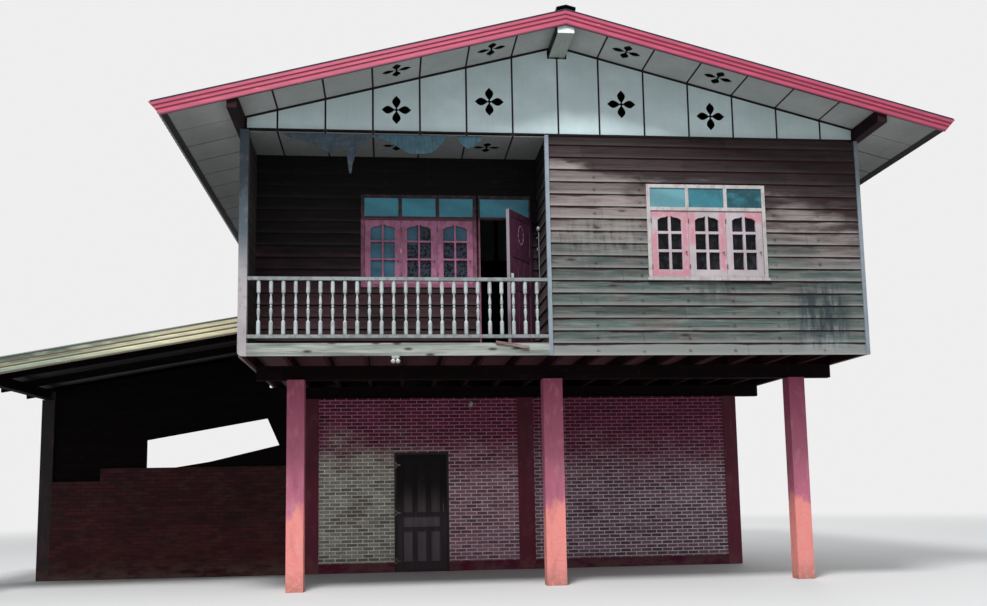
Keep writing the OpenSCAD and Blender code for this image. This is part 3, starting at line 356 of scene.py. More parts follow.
@dataclass(frozen=True)
class LapBoards:
    """Rough-sawn hardwood boards lapped over each other and left to weather.

    To the eye: each board has its own tone, a dark wavering line of painted shade under
    the lap above it, a bleached lower edge, long dark checks, small knots, and nail heads
    that weep; greenish grey lower down, pinkish grey half way up, and dark brown toward the
    top, partly wood that the eaves keep from the weather and partly painted eave shadow
    whose edge falls toward +x as the roof does. Grain and nail heads are drawn coarser
    than real ones, so that they show.
    """

    mid: str
    low: str
    # Colour toward the top: wood sheltered by the eaves and painted eave shadow.
    top: str
    foot: str
    brown: str = "#4A3A3A"
    # Colour of the painted shade under each lap.
    line: str = "#1E0C10"
    top_z: Span = (5.42, 5.02)
    top_fall: float = 0.21
    low_z: Span = (4.90, 4.35)
    drift_z: float = 0.55
    drift_mean: float = 0.45
    weather: float = 1.0
    tones: Span = (0.66, 1.24)
    stains: tuple[tuple[Patch, str, float], ...] = ()
    inner: str = ""
    board_length: float = 3.3
    joint_shift: float = 1.37
    lane_shift: float = 3.71
    stud_pitch: float = 0.6
    nail_height: float = 0.34

    def make(self, name: str) -> Material:
        """Build the material.

        Args:
            name: The material's name.

        Returns:
            The finished material.
        """
        p = Paint(name, self.mid)
        run = p.along()
        level = p.add("Math", {0: p.z, 1: FLOOR_Z}, operation="SUBTRACT")
        count = p.add("Math", {0: level, 1: LAP_PITCH}, operation="DIVIDE")
        board = p.add("Math", {0: count}, operation="FLOOR")
        across = p.add("Math", {0: count}, operation="FRACT")
        joint = p.add("Math", {0: board, 1: self.joint_shift, 2: run}, operation="MULTIPLY_ADD")
        joint = p.add("Math", {0: joint, 1: self.board_length}, operation="DIVIDE")
        key = p.add("CombineXYZ", {0: board, 1: p.add("Math", {0: joint}, operation="FLOOR")})
        each = p.add("TexWhiteNoise", {"Vector": key}, "Value", noise_dimensions="2D")
        lane = p.add("Math", {0: board, 1: self.lane_shift}, operation="MULTIPLY")

        def stretched(along: float, up: float) -> NodeSocket:
            """Coordinates for a pattern that changes from board to board."""
            return p.add("CombineXYZ", {0: p.add("Math", {0: run, 1: along}, operation="MULTIPLY"), 1: lane,
                                        2: p.add("Math", {0: p.z, 1: up}, operation="MULTIPLY")})

        def streaks(along: float, up: float, detail: float, low: float, high: float) -> NodeSocket:
            """Long streaks, given as how many there are to the metre each way."""
            noise = p.add("TexNoise", {"Vector": stretched(along, up), "Scale": 1.0, "Detail": detail,
                                       "Roughness": 0.62})
            return p.add("MapRange", {0: noise, 1: low, 2: high})

        grain = streaks(2.6, 95.0, 6.0, 0.30, 0.70)
        check = streaks(1.1, 42.0, 3.0, 0.58, 0.70)
        bleach = streaks(1.4, 14.0, 5.0, 0.50, 0.74)
        drift = p.patches((1300, 1300, 420), 0.30, 0.70, seed=3.0)
        height = p.add("Math", {0: drift, 1: self.drift_z, 2: p.z}, operation="MULTIPLY_ADD")
        p.coat(self.low, p.add("MapRange", {0: height, 1: self.low_z[0], 2: self.low_z[1]}, **SOFT))
        p.coat(self.brown, p.patches((620, 620, 300), 0.48, 0.70, seed=9.0), 0.50)
        p.coat("#8A7C82", p.patches((300, 300, 90), 0.50, 0.72, seed=21.0), 0.30 * self.weather)
        # Dark toward the top: partly wood sheltered by the eaves, partly painted eave shadow whose edge falls
        # toward +x.
        lean = p.add("Math", {0: p.x, 1: self.top_fall, 2: height}, operation="MULTIPLY_ADD")
        foot, head = (z + self.drift_mean for z in sorted(self.top_z))
        rise = p.add("MapRange", {0: lean, 1: foot, 2: head}, **SOFT)
        p.coat(self.top, rise, 0.92)
        p.tone(each, *self.tones)
        p.tone(grain, 0.62, 1.22)
        p.coat("#A29F9C", p.both(bleach, p.add("MapRange", {0: p.z, 1: 5.3, 2: 4.6})), 0.36 * self.weather)
        p.coat("#1E1718", check, 0.72)
        p.coat(self.foot, p.add("MapRange", {0: p.z, 1: FLOOR_Z + 0.003, 2: FLOOR_Z - 0.003}), 0.75)
        lip = p.both(p.add("MapRange", {0: across, 1: 0.34, 2: 0.03}),
                     p.add("MapRange", {0: rise, 3: 1.0, 4: 0.12}))
        p.coat("#A6A6A2", lip, 0.42 * self.weather)
        # Painted shade: a dark wavering line under the lap above each board.
        start = p.add("MapRange", {0: streaks(1.7, 0.4, 2.0, 0.30, 0.70), 3: 0.72, 4: 0.92})
        end = p.add("Math", {0: start, 1: 0.07}, operation="ADD")
        p.coat(self.line, p.add("MapRange", {0: across, 1: start, 2: end}), 0.90)
        for sides, stain, share in self.stains:
            brush = p.patches((70, 70, 420), 0.34, 0.60, seed=sides[0] * 3.0)
            p.coat(stain, p.both(p.rectangle(sides, 0.14, 0.16), brush), share)
        knot = p.add("TexVoronoi", {"Vector": stretched(1.6, 5.0), "Scale": 1.0}, "Distance")
        p.coat("#241A1C", p.add("MapRange", {0: knot, 1: 0.13, 2: 0.05}), 0.75)
        self.drive_nails(p, run, across)
        ends = p.add("Math", {0: joint}, operation="FRACT")
        p.coat("#140E10", p.add("MapRange", {0: ends, 1: 0.0015, 2: 0.0006}), 0.9)
        # Faces that look along +x, darkened as painted shade.
        if self.inner:
            p.coat(self.inner, p.facing(Side.RIGHT), 0.85)
        relief = p.add("Math", {0: check, 1: -1.6, 2: grain}, operation="MULTIPLY_ADD")
        rough = p.add("MapRange", {0: grain, 3: 0.94, 4: 0.78})
        return p.finish(rough, relief, 1.4, Specular_IOR_Level=0.25)

    def drive_nails(self, p: Paint, run: NodeSocket, across: NodeSocket) -> None:
        """Draw a nail head on each board at each stud, with a dark weep round it.

        Args:
            p: The material's tree.
            run: Distance along the wall in metres.
            across: Place between two laps, from 0 to 1.
        """
        aside = p.add("Math", {0: run, 1: self.stud_pitch / 2}, operation="PINGPONG")
        up = p.add("Math", {0: across, 1: self.nail_height}, operation="SUBTRACT")
        up = p.add("Math", {0: up, 1: LAP_PITCH}, operation="MULTIPLY")
        nail = p.add("VectorMath", {0: p.add("CombineXYZ", {0: aside, 2: up})}, "Value", operation="LENGTH")
        weep = p.both(p.add("MapRange", {0: nail, 1: 0.036, 2: 0.008}),
                      p.patches((330, 330, 110), 0.44, 0.56, seed=31.0))
        p.coat("#221C1C", weep, 0.62)
        p.coat("#2E1D18", p.add("MapRange", {0: nail, 1: 0.006, 2: 0.003}), 0.9)


@dataclass(frozen=True)
class Timber:
    """Sawn structural timber, bare or with old thin paint.

    To the eye: long streaks along the piece, knots on weathered edges, a little grey
    dust, and joints and corners darkened by grime and painted shade. The grain is drawn
    coarser than real, to show.
    """

    face: str
    deep: str
    run: Run = Run.ALONG_X
    rough: float = 0.8
    knots: float = 0.0
    end: str = ""
    below: str = ""
    high: tuple[str, float, float] = ("", 0.0, 0.0)
    gloss: float = 0.3
    dust: float = 0.14
    seam_dirt_and_shade: float = 0.5

    def make(self, name: str) -> Material:
        """Build the material.

        Args:
            name: The material's name.

        Returns:
            The finished material.
        """
        p = Paint(name, self.deep)
        grain = p.grain(self.run, 7.0, 380.0, seed=2.0)
        p.coat(self.face, p.grain(self.run, 60.0, 900.0, seed=5.0))
        p.above(*self.high)
        if self.below:
            p.coat(self.below, p.facing(Side.DOWN))
        if self.end:
            p.coat(self.end, p.facing(Side.FRONT))
        p.tone(grain, 0.78, 1.14)
        p.coat("#6A6468", p.patches((90, 90, 90), 0.56, 0.74, detail=7.0, seed=9.0), self.dust)
        if self.knots:
            place = p.add("Mapping", {0: p.add("CombineXYZ", {0: p.along(), 1: p.z}), 3: (2.1, 6.2, 1.0)})
            knot = p.add("TexVoronoi", {"Vector": place, "Scale": 1.0}, "Distance", voronoi_dimensions="2D")
            p.coat("#3A2E2A", p.add("MapRange", {0: knot, 1: 0.16, 2: 0.06}), self.knots)
        # Grime and painted shade in the joints and corners.
        p.coat("#1C1416", p.crevice(40), self.seam_dirt_and_shade)
        return p.finish(self.rough, grain, 0.7, Specular_IOR_Level=self.gloss)


@dataclass(frozen=True)
class OldPaint:
    """Brushed oil paint on joinery, chalked by sun and flaked off in places.

    To the eye: a matt face with brush marks, flakes that bare a second colour, grime and
    painted shade in the corners and, on an open door, an edge of another colour.
    """

    face: str
    bare: str
    flaked: float = 0.45
    run: Run = Run.UPRIGHT
    dirt_and_shade: str = "#4A4442"
    dirt_and_shade_share: float = 0.6
    rough: float = 0.62
    worn: tuple[Patch, ...] = ()
    high: tuple[str, float, float] = ("", 0.0, 0.0)
    edge: tuple[str, Point] = ("", (0.0, 0.0, 0.0))

    def make(self, name: str) -> Material:
        """Build the material.

        Args:
            name: The material's name.

        Returns:
            The finished material.
        """
        p = Paint(name, self.face)
        brush = p.grain(self.run, 5.0, 220.0, seed=1.0)
        kept = 0.2 * self.flaked
        flake = p.patches((90, 90, 130), 0.56 - kept, 0.62 - kept, detail=8.0, seed=4.0)
        p.above(*self.high)
        p.tone(p.patches((420, 420, 420), 0.35, 0.65, seed=7.0), 0.88, 1.10)
        p.tone(brush, 0.92, 1.06)
        p.coat(self.bare, flake, min(1.0, self.flaked * 1.7))
        for sides in self.worn:
            rub = p.patches((60, 60, 110), 0.30, 0.50, detail=7.0, seed=sides[0])
            p.coat(self.bare, p.both(p.rectangle(sides, 0.03, 0.05), rub), 0.8)
        code, way = self.edge
        if code:
            turned = p.add("VectorMath", {0: p.add("TexCoord", out="Normal"), 1: way}, "Value",
                           operation="DOT_PRODUCT")
            p.coat(code, p.add("MapRange", {0: turned, 1: 0.90, 2: 0.97}), 0.85)
        # Grime and painted shade in the corners.
        p.coat(self.dirt_and_shade, p.crevice(28), self.dirt_and_shade_share)
        relief = p.add("Math", {0: brush, 1: p.add("Math", {0: flake, 1: -1.5}, operation="MULTIPLY")},
                       operation="ADD")
        return p.finish(self.rough, relief, 0.35, Specular_IOR_Level=0.4)


@dataclass(frozen=True)
class PanelBoard:
    """Fibre-cement sheets with one coat of emulsion, rained on for years.

    To the eye: an even pale face with faint cloudy stains, grey runs under the roof
    and a dirty foot.
    """

    face: str
    stain: str
    runs: float = 0.35

    def make(self, name: str) -> Material:
        """Build the material.

        Args:
            name: The material's name.

        Returns:
            The finished material.
        """
        p = Paint(name, self.face)
        fleck = p.patches((16, 16, 16), 0.40, 0.60, detail=2.0, seed=8.0)
        p.tone(p.patches((700, 700, 500), 0.35, 0.70, seed=6.0), 0.90, 1.05)
        p.tone(fleck, 0.97, 1.02)
        p.coat(self.stain, p.patches((55, 55, 1500), 0.52, 0.72, seed=11.0), self.runs)
        p.coat(self.stain, p.add("MapRange", {0: p.z, 1: PLATE_Z + 0.09, 2: PLATE_Z}), 0.45)
        # Grime and painted shade in the joints and corners.
        p.coat("#3A3034", p.crevice(30), 0.5)
        return p.finish(0.82, fleck, 0.15, Specular_IOR_Level=0.3)


@dataclass(frozen=True)
class MouldedFascia:
    """A moulded fascia board in gloss paint, with a darker line along each groove.

    To the eye: three bands with two crimson lines that follow the roof's slope, dulled
    in places, with a dirty top edge and a dark lip of painted shade at the foot.
    """

    band: str
    groove: str
    far_band: str
    slope: float
    height: float
    top_z: float
    far_x: Span
    lip: str = "#5A1430"
    head: str = "#66526A"
    upper: str = ""
    wide: float = 0.115
    lines: Span = (0.38, 0.67)

    def make(self, name: str) -> Material:
        """Build the material.

        Args:
            name: The material's name.

        Returns:
            The finished material.
        """
        p = Paint(name, self.band)
        out = p.add("Math", {0: p.x}, operation="ABSOLUTE")
        fall = p.add("Math", {0: out, 1: self.slope, 2: p.z}, operation="MULTIPLY_ADD")
        share = p.add("MapRange", {0: fall, 1: self.top_z - self.height, 2: self.top_z})
        far = p.add("MapRange", {0: p.x, 1: self.far_x[0], 2: self.far_x[1]})
        p.coat(self.far_band, far)
        chalk = p.patches((500, 500, 60), 0.42, 0.66, seed=2.0)
        p.tone(chalk, 0.88, 1.10)
        if self.upper:
            moss = p.patches((380, 380, 70), 0.34, 0.56, detail=6.0, seed=9.0)
            half = p.add("MapRange", {0: share, 1: 0.46, 2: 0.56})
            p.coat(self.upper, p.both(half, far, moss), 0.9)
        for line in self.lines:
            gap = p.add("Math", {0: share, 1: line}, operation="SUBTRACT")
            gap = p.add("Math", {0: gap}, operation="ABSOLUTE")
            p.coat(self.groove, p.add("MapRange", {0: gap, 1: self.wide, 2: self.wide * 0.45}, **SOFT), 0.95)
        # Painted shade along the lower lip.
        p.coat(self.lip, p.add("MapRange", {0: share, 1: 0.13, 2: 0.05}), 0.9)
        p.coat(self.head, p.add("MapRange", {0: share, 1: 0.92, 2: 0.97}), 0.85)
        p.coat("#D8B8BC", p.patches((160, 160, 40), 0.66, 0.74, detail=8.0, seed=5.0), 0.35)
        return p.finish(0.42, chalk, 0.3, Coat_Weight=0.15, Coat_Roughness=0.3)


@dataclass(frozen=True)
class Brickwork:
    """Hard-fired clay bricks in running bond with wide pale joints, washed maroon.

    To the eye: small courses with sunk pale mortar, each brick its own tone, paler low
    down and toward the open side, partly a faded wash and partly painted light thrown up
    from the ground, and a plain maroon band at the foot.
    """

    brick: str
    low_brick: str
    side_brick: str
    mortar: str
    low_mortar: str
    side_mortar: str
    band: str
    foot_z: float = 0.15
    turn_z: Span = (2.05, 1.35)
    side_x: Span = (-9.0, -9.1)
    wash: tuple[str, float] = ("", 0.0)
    length: float = 173.0
    course: float = 58.0
    joint: float = 18.0

    def make(self, name: str) -> Material:
        """Build the material.

        Args:
            name: The material's name.

        Returns:
            The finished material.
        """
        p = Paint(name, self.brick)
        wobble = p.add("TexNoise", {"Vector": p.spot, "Scale": 9.0, "Detail": 2.0}, "Color")
        wobble = p.add("VectorMath", {0: wobble, 1: (0.5, 0.5, 0.5)}, operation="SUBTRACT")
        wobble = p.add("VectorMath", {0: wobble, "Scale": 0.007}, operation="SCALE")
        flat = p.add("CombineXYZ", {0: p.along(), 1: p.z})
        flat = p.add("VectorMath", {0: flat, 1: wobble}, operation="ADD")
        wall = {"Vector": flat, "Color1": srgb("#000000"), "Color2": srgb("#FFFFFF"),
                "Mortar": (0.5, 0.5, 0.5, 1.0), "Scale": 1.0, "Mortar Size": self.joint / 2000,
                "Mortar Smooth": 0.35, "Bias": 0.0, "Brick Width": self.length / 1000,
                "Row Height": self.course / 1000}
        each = p.add("RGBToBW", {0: p.add("TexBrick", wall, "Color", offset=0.5)})
        joints = p.add("TexBrick", wall, "Fac", offset=0.5)
        drift = p.patches((900, 900, 420), 0.25, 0.75, seed=3.0)
        # Paler below turn_z and toward side_x: partly a faded wash, partly painted light thrown up from the
        # ground.
        height = p.add("Math", {0: drift, 1: -0.5, 2: p.z}, operation="MULTIPLY_ADD")
        low = p.add("MapRange", {0: height, 1: self.turn_z[0] - 0.25, 2: self.turn_z[1] - 0.25}, **SOFT)
        side = p.add("MapRange", {0: p.x, 1: self.side_x[0], 2: self.side_x[1]}, **SOFT)
        p.colour = p.layer(p.colour, p.layer(srgb(self.low_brick), srgb(self.side_brick), side), low)
        p.tone(each, 0.55, 1.45)
        p.tone(p.patches((40, 40, 20), 0.3, 0.7, seed=3.0), 0.78, 1.2)
        mortar = p.layer(srgb(self.low_mortar), srgb(self.side_mortar), side)
        mortar = p.layer(srgb(self.mortar), mortar, low)
        mortar = p.shade(mortar, p.patches((160, 160, 60), 0.3, 0.7, seed=6.0), 0.78, 1.12)
        p.colour = p.layer(p.colour, mortar, joints)
        p.coat(self.band, p.patches((600, 600, 400), 0.50, 0.72, seed=12.0), 0.30)
        code, share = self.wash
        if code:
            p.coat(code, p.patches((260, 260, 120), 0.50, 0.62, detail=7.0, seed=17.0), share)
        plain = p.add("MapRange", {0: p.z, 1: self.foot_z + 0.006, 2: self.foot_z - 0.006})
        p.coat(self.band, plain, 1.0)
        splash = p.patches((300, 300, 120), 0.35, 0.6, seed=15.0)
        p.coat("#7A6660", p.both(splash, p.add("MapRange", {0: p.z, 1: 0.30, 2: 0.02})), 0.5)
        smooth = p.add("Math", {0: 1.0, 1: joints}, operation="SUBTRACT")
        smooth = p.add("Math", {0: smooth, 1: plain}, operation="MAXIMUM")
        pit = p.patches((9, 9, 9), 0.3, 0.7, detail=3.0, seed=1.0)
        relief = p.add("Math", {0: pit, 1: 0.22, 2: smooth}, operation="MULTIPLY_ADD")
        return p.finish(0.88, relief, 5.0, Specular_IOR_Level=0.3)


@dataclass(frozen=True)
class RenderedPost:
    """Cement-rendered concrete posts with two coats of wall paint.

    To the eye: a soft face, darker up under the house as painted shade, with hairline
    cracks, rubbed patches and a mud-splashed foot.
    """

    low: str
    high: str
    top: str = ""
    turn_z: Span = (1.00, 1.22)
    rubbed: float = 0.20

    def make(self, name: str) -> Material:
        """Build the material.

        Args:
            name: The material's name.

        Returns:
            The finished material.
        """
        p = Paint(name, self.low)
        drift = p.patches((300, 300, 500), 0.2, 0.8, seed=1.0)
        rise = p.add("Math", {0: drift, 1: 0.5, 2: p.z}, operation="MULTIPLY_ADD")
        # Painted shade: darker above turn_z and darker still toward the top.
        p.coat(self.high, p.add("MapRange", {0: rise, 1: self.turn_z[0], 2: self.turn_z[1]}, **SOFT))
        if self.top:
            p.coat(self.top, p.add("MapRange", {0: p.z, 1: 1.7, 2: 2.7}), 0.8)
        p.coat("#E8B4B0", p.patches((120, 120, 260), 0.52, 0.66, detail=7.0, seed=4.0), self.rubbed)
        p.coat("#6A3A48", p.patches((160, 160, 700), 0.50, 0.72, seed=8.0), 0.30)
        crack = p.add("Mapping", {0: p.spot, 3: (5.0, 5.0, 2.2)})
        crack = p.add("TexVoronoi", {"Vector": crack, "Scale": 1.0}, "Distance", feature="DISTANCE_TO_EDGE")
        p.coat("#5A3038", p.add("MapRange", {0: crack, 1: 0.008, 2: 0.002}), 0.20)
        mud = p.both(p.add("MapRange", {0: p.z, 1: 0.28, 2: 0.0}),
                     p.patches((90, 90, 60), 0.3, 0.6, seed=2.0))
        p.coat("#9A7464", mud, 0.2 + 2.5 * self.rubbed)
        return p.finish(0.72, p.patches((70, 70, 40), 0.2, 0.8, detail=6.0, seed=6.0), 2.0,
                        Specular_IOR_Level=0.35)


@dataclass(frozen=True)
class CorrugatedSteel:
    """Galvanised corrugated sheet, dulled by weather and rusting from its laps.

    To the eye: dull grey with a spangle, brown streaks that run down the slope, and
    side laps every seven waves.
    """

    face: str
    rust: str
    rusty: float = 0.5
    below: str = "#2A2224"
    cover: float = 7 * 0.1296
    start: float = -1.815

    def make(self, name: str) -> Material:
        """Build the material.

        Args:
            name: The material's name.

        Returns:
            The finished material.
        """
        p = Paint(name, self.face)
        run = p.patches((2600, 45, 2600), 0.48, 0.68, detail=6.0, seed=3.0)
        streak = p.both(run, p.patches((900, 700, 900), 0.42, 0.62, seed=7.0))
        side = p.add("Math", {0: p.y, 1: self.start}, operation="SUBTRACT")
        side = p.add("Math", {0: side, 1: self.cover}, operation="DIVIDE")
        sheet = p.add("TexWhiteNoise", {"W": p.add("Math", {0: side}, operation="FLOOR")}, "Value",
                      noise_dimensions="1D")
        spangle = p.add("TexVoronoi", {"Vector": p.spot, "Scale": 60.0}, "Color")
        p.tone(sheet, 0.84, 1.14)
        p.tone(p.add("RGBToBW", {0: spangle}), 0.93, 1.06)
        p.coat(self.rust, streak, self.rusty)
        lap = p.add("Math", {0: side}, operation="FRACT")
        p.coat("#2E2220", p.add("MapRange", {0: lap, 1: 0.03, 2: 0.008}), 0.6)
        p.coat(self.rust, p.crevice(60), 0.35)
        p.coat(self.below, p.facing(Side.DOWN), 0.9)
        rough = p.add("MapRange", {0: streak, 3: 0.46, 4: 0.85})
        return p.finish(rough, p.patches((220, 220, 220), 0.2, 0.8, seed=2.0), 1.5, Metallic=0.55)


@dataclass(frozen=True)
class PaneGlass:
    """Drawn sheet glass, tinted or obscured, dusty on the outside.

    To the eye: a dark or teal gloss with painted reflections in soft slanting bands and
    patches of painted sheen, with leafy figures pressed in it and a thin film of dust.
    """

    face: str
    painted_sheen: str
    tints: tuple[tuple[Patch, str], ...] = ()
    figure: float = 0.0
    figure_x: Span = (0.0, 0.0)
    rough: float = 0.12
    shine: float = 0.5

    def make(self, name: str) -> Material:
        """Build the material.

        Args:
            name: The material's name.

        Returns:
            The finished material.
        """
        p = Paint(name, self.face)
        for sides, tint in self.tints:
            p.coat(tint, p.rectangle(sides, 0.004, 0.004))
        # Painted reflection: soft slanting bands, lighter and darker.
        slant = p.add("Math", {0: p.x, 1: 0.35, 2: p.z}, operation="MULTIPLY_ADD")
        band = p.add("Math", {0: slant, 1: 0.21}, operation="PINGPONG")
        p.tone(p.add("MapRange", {0: band, 1: 0.05, 2: 0.17}, **SOFT), 0.84, 1.12)
        leafy = p.add("TexVoronoi", {"Vector": p.spot, "Scale": 33.0}, "Distance", feature="SMOOTH_F1")
        leafy = p.add("MapRange", {0: leafy, 1: 0.34, 2: 0.44})
        if self.figure:
            p.coat("#5E7088", p.both(p.window(p.x, *self.figure_x, 0.004), leafy), self.figure)
        # Patches of painted sheen.
        p.coat(self.painted_sheen, p.patches((220, 220, 160), 0.48, 0.70, seed=8.0), 0.35)
        dust = p.patches((60, 60, 90), 0.45, 0.75, detail=6.0, seed=5.0)
        p.coat("#8A8C88", dust, 0.08)
        rough = p.add("MapRange", {0: dust, 3: self.rough, 4: self.rough + 0.2})
        return p.finish(rough, leafy, 0.2, IOR=1.52, Specular_IOR_Level=self.shine)


@dataclass(frozen=True)
class TrowelledCement:
    """A floor slab of trowelled cement mortar.

    To the eye: grey-pink with cloudy trowel marks, dust and a few fine cracks.
    """

    face: str = "#6E6462"
    dust: str = "#84746E"

    def make(self, name: str) -> Material:
        """Build the material.

        Args:
            name: The material's name.

        Returns:
            The finished material.
        """
        p = Paint(name, self.face)
        p.coat(self.dust, p.patches((420, 420, 420), 0.3, 0.7, seed=1.0))
        crack = p.add("TexVoronoi", {"Vector": p.spot, "Scale": 0.8}, "Distance", feature="DISTANCE_TO_EDGE")
        p.coat("#4A403C", p.add("MapRange", {0: crack, 1: 0.006, 2: 0.001}), 0.6)
        return p.finish(0.7, p.patches((30, 30, 30), 0.2, 0.8), 0.4)


@dataclass(frozen=True)
class DullSteel:
    """Pressed steel ironmongery, dulled by handling and damp.

    To the eye: a dull dark metal with matt rust freckles.
    """

    face: str = "#5A5652"

    def make(self, name: str) -> Material:
        """Build the material.

        Args:
            name: The material's name.

        Returns:
            The finished material.
        """
        p = Paint(name, self.face)
        freckle = p.patches((9, 9, 9), 0.52, 0.66, detail=6.0, seed=3.0)
        p.coat("#6A3A22", freckle, 0.7)
        return p.finish(p.add("MapRange", {0: freckle, 3: 0.38, 4: 0.85}), freckle, 0.2, Metallic=0.85)


@dataclass(frozen=True)
class FloorBoards:
    """Planed hardwood floor boards, 140 mm wide, rubbed by feet.

    To the eye: boards that run from front to back with dark joints and a dull sheen.
    """

    face: str
    deep: str
    below: str = "#4A1E2C"
    width: float = 0.140

    def make(self, name: str) -> Material:
        """Build the material.

        Args:
            name: The material's name.

        Returns:
            The finished material.
        """
        p = Paint(name, self.deep)
        count = p.add("Math", {0: p.x, 1: self.width}, operation="DIVIDE")
        board = p.add("Math", {0: count}, operation="FLOOR")
        p.coat(self.face, p.add("TexWhiteNoise", {"W": board}, "Value", noise_dimensions="1D"))
        grain = p.grain(Run.ALONG_Y, 6.0, 420.0, seed=4.0)
        p.tone(grain, 0.8, 1.12)
        edge = p.add("Math", {0: p.add("Math", {0: count}, operation="FRACT"), 1: 0.5}, operation="SUBTRACT")
        edge = p.add("Math", {0: edge}, operation="ABSOLUTE")
        seam = p.add("MapRange", {0: edge, 1: 0.482, 2: 0.494})
        p.coat(self.below, p.facing(Side.DOWN), 0.85)
        p.coat("#181012", seam, 0.9)
        relief = p.add("Math", {0: grain, 1: p.add("Math", {0: seam, 1: -3.0}, operation="MULTIPLY")},
                       operation="ADD")
        return p.finish(0.55, relief, 0.8)


@dataclass(frozen=True)
class Enamel:
    """Stove enamel, opal glass or hard plastic pipe, smooth and slightly yellowed.

    To the eye: a soft pale gloss with dust on it, and grime and painted shade in its corners.
    """

    face: str
    rough: float = 0.30

    def make(self, name: str) -> Material:
        """Build the material.

        Args:
            name: The material's name.

        Returns:
            The finished material.
        """
        p = Paint(name, self.face)
        dust = p.patches((14, 14, 14), 0.45, 0.75, detail=5.0, seed=3.0)
        p.coat("#A8A090", dust, 0.30)
        # Grime and painted shade in the corners.
        p.coat("#5A544C", p.crevice(10), 0.5)
        return p.finish(p.add("MapRange", {0: dust, 3: self.rough, 4: self.rough + 0.3}), dust, 0.1)


@dataclass(frozen=True)
class PlasticFilm:
    """Thin woven plastic film that has torn and hangs in rags.

    To the eye: a flat bluish sheen with creases and dusty patches. The weave is too
    fine to show, so it is drawn as coarse as it needs.
    """

    face: str
    deep: str

    def make(self, name: str) -> Material:
        """Build the material.

        Args:
            name: The material's name.

        Returns:
            The finished material.
        """
        p = Paint(name, self.deep)
        crease = p.patches((30, 200, 140), 0.30, 0.70, detail=6.0, seed=2.0)
        p.coat(self.face, crease)
        p.coat("#8A9098", p.patches((110, 110, 60), 0.42, 0.66, seed=6.0), 0.10)
        p.tone(p.add("TexWave", {"Vector": p.spot, "Scale": 90.0}, "Fac", bands_direction="Z"), 0.92, 1.06)
        return p.finish(0.45, crease, 3.0, Sheen_Weight=0.1)


@dataclass
class Dresser:
    """Gives each node of the frame its finish and lends finishes to the new pieces."""

    nodes: dict[str, Object]
    dressed: set[str] = field(default_factory=set)
    made: dict[str, Material] = field(default_factory=dict)
    lent: dict[str, Finish] = field(default_factory=lambda: {
        "white_enamel": Enamel("#A8ACAA"),
        "opal_glass": Enamel("#B4B8B6", 0.22),
        "grey_conduit": Enamel("#6E7276", 0.45),
        "dull_steel_fittings": DullSteel("#6A6864"),
        "split_heartwood": Timber("#94807A", "#6A4644", Run.ALONG_X, below="#4A2228"),
        "slate_film": PlasticFilm("#2C4658", "#1C2E3C"),
        "rubbed_door_paint": OldPaint("#806078", "#5C3048", 0.3, dirt_and_shade="#1A0C12"),
        "teal_film": PlasticFilm("#34687A", "#244C5C")})

    def shared(self, name: str) -> Material:
        """Make a lent finish once and hand it out.

        Args:
            name: The finish's name.

        Returns:
            The material.
        """
        if name not in self.made:
            self.made[name] = self.lent[name].make(name)
        return self.made[name]

    def wear(self, finish: Finish, name: str, *nodes: str) -> Material:
        """Make one finish and put it on nodes.

        Args:
            finish: The finish to make.
            name: The material's name.
            *nodes: The nodes that wear it.

        Returns:
            The material.
        """
        material = finish.make(name)
        for node in nodes:
            for slot in self.nodes[node].material_slots:
                slot.material = material
            self.dressed.add(node)
            log.info("%s wears %s", node, name)
        return material


def leave_edit_mode() -> None:
    """Go back to object mode from wherever the last tool left off."""
    if bpy.context.object and bpy.context.object.mode != "OBJECT":
        bpy.ops.object.mode_set(mode="OBJECT")


def clear_selection() -> None:
    """Leave edit mode and deselect everything."""
    leave_edit_mode()
    bpy.ops.object.select_all(action="DESELECT")


def settle() -> None:
    """Bring the active object's place, turn and scale into its mesh."""
    bpy.ops.object.transform_apply(location=True, rotation=True, scale=True)


def turn(degrees: float, axis: str) -> Matrix:
    """Turn about an axis through the origin."""
    return Matrix.Rotation(math.radians(degrees), 4, axis)


def move(x: float, y: float, z: float) -> Matrix:
    """Move by a number of metres each way."""
    return Matrix.Translation((x, y, z))


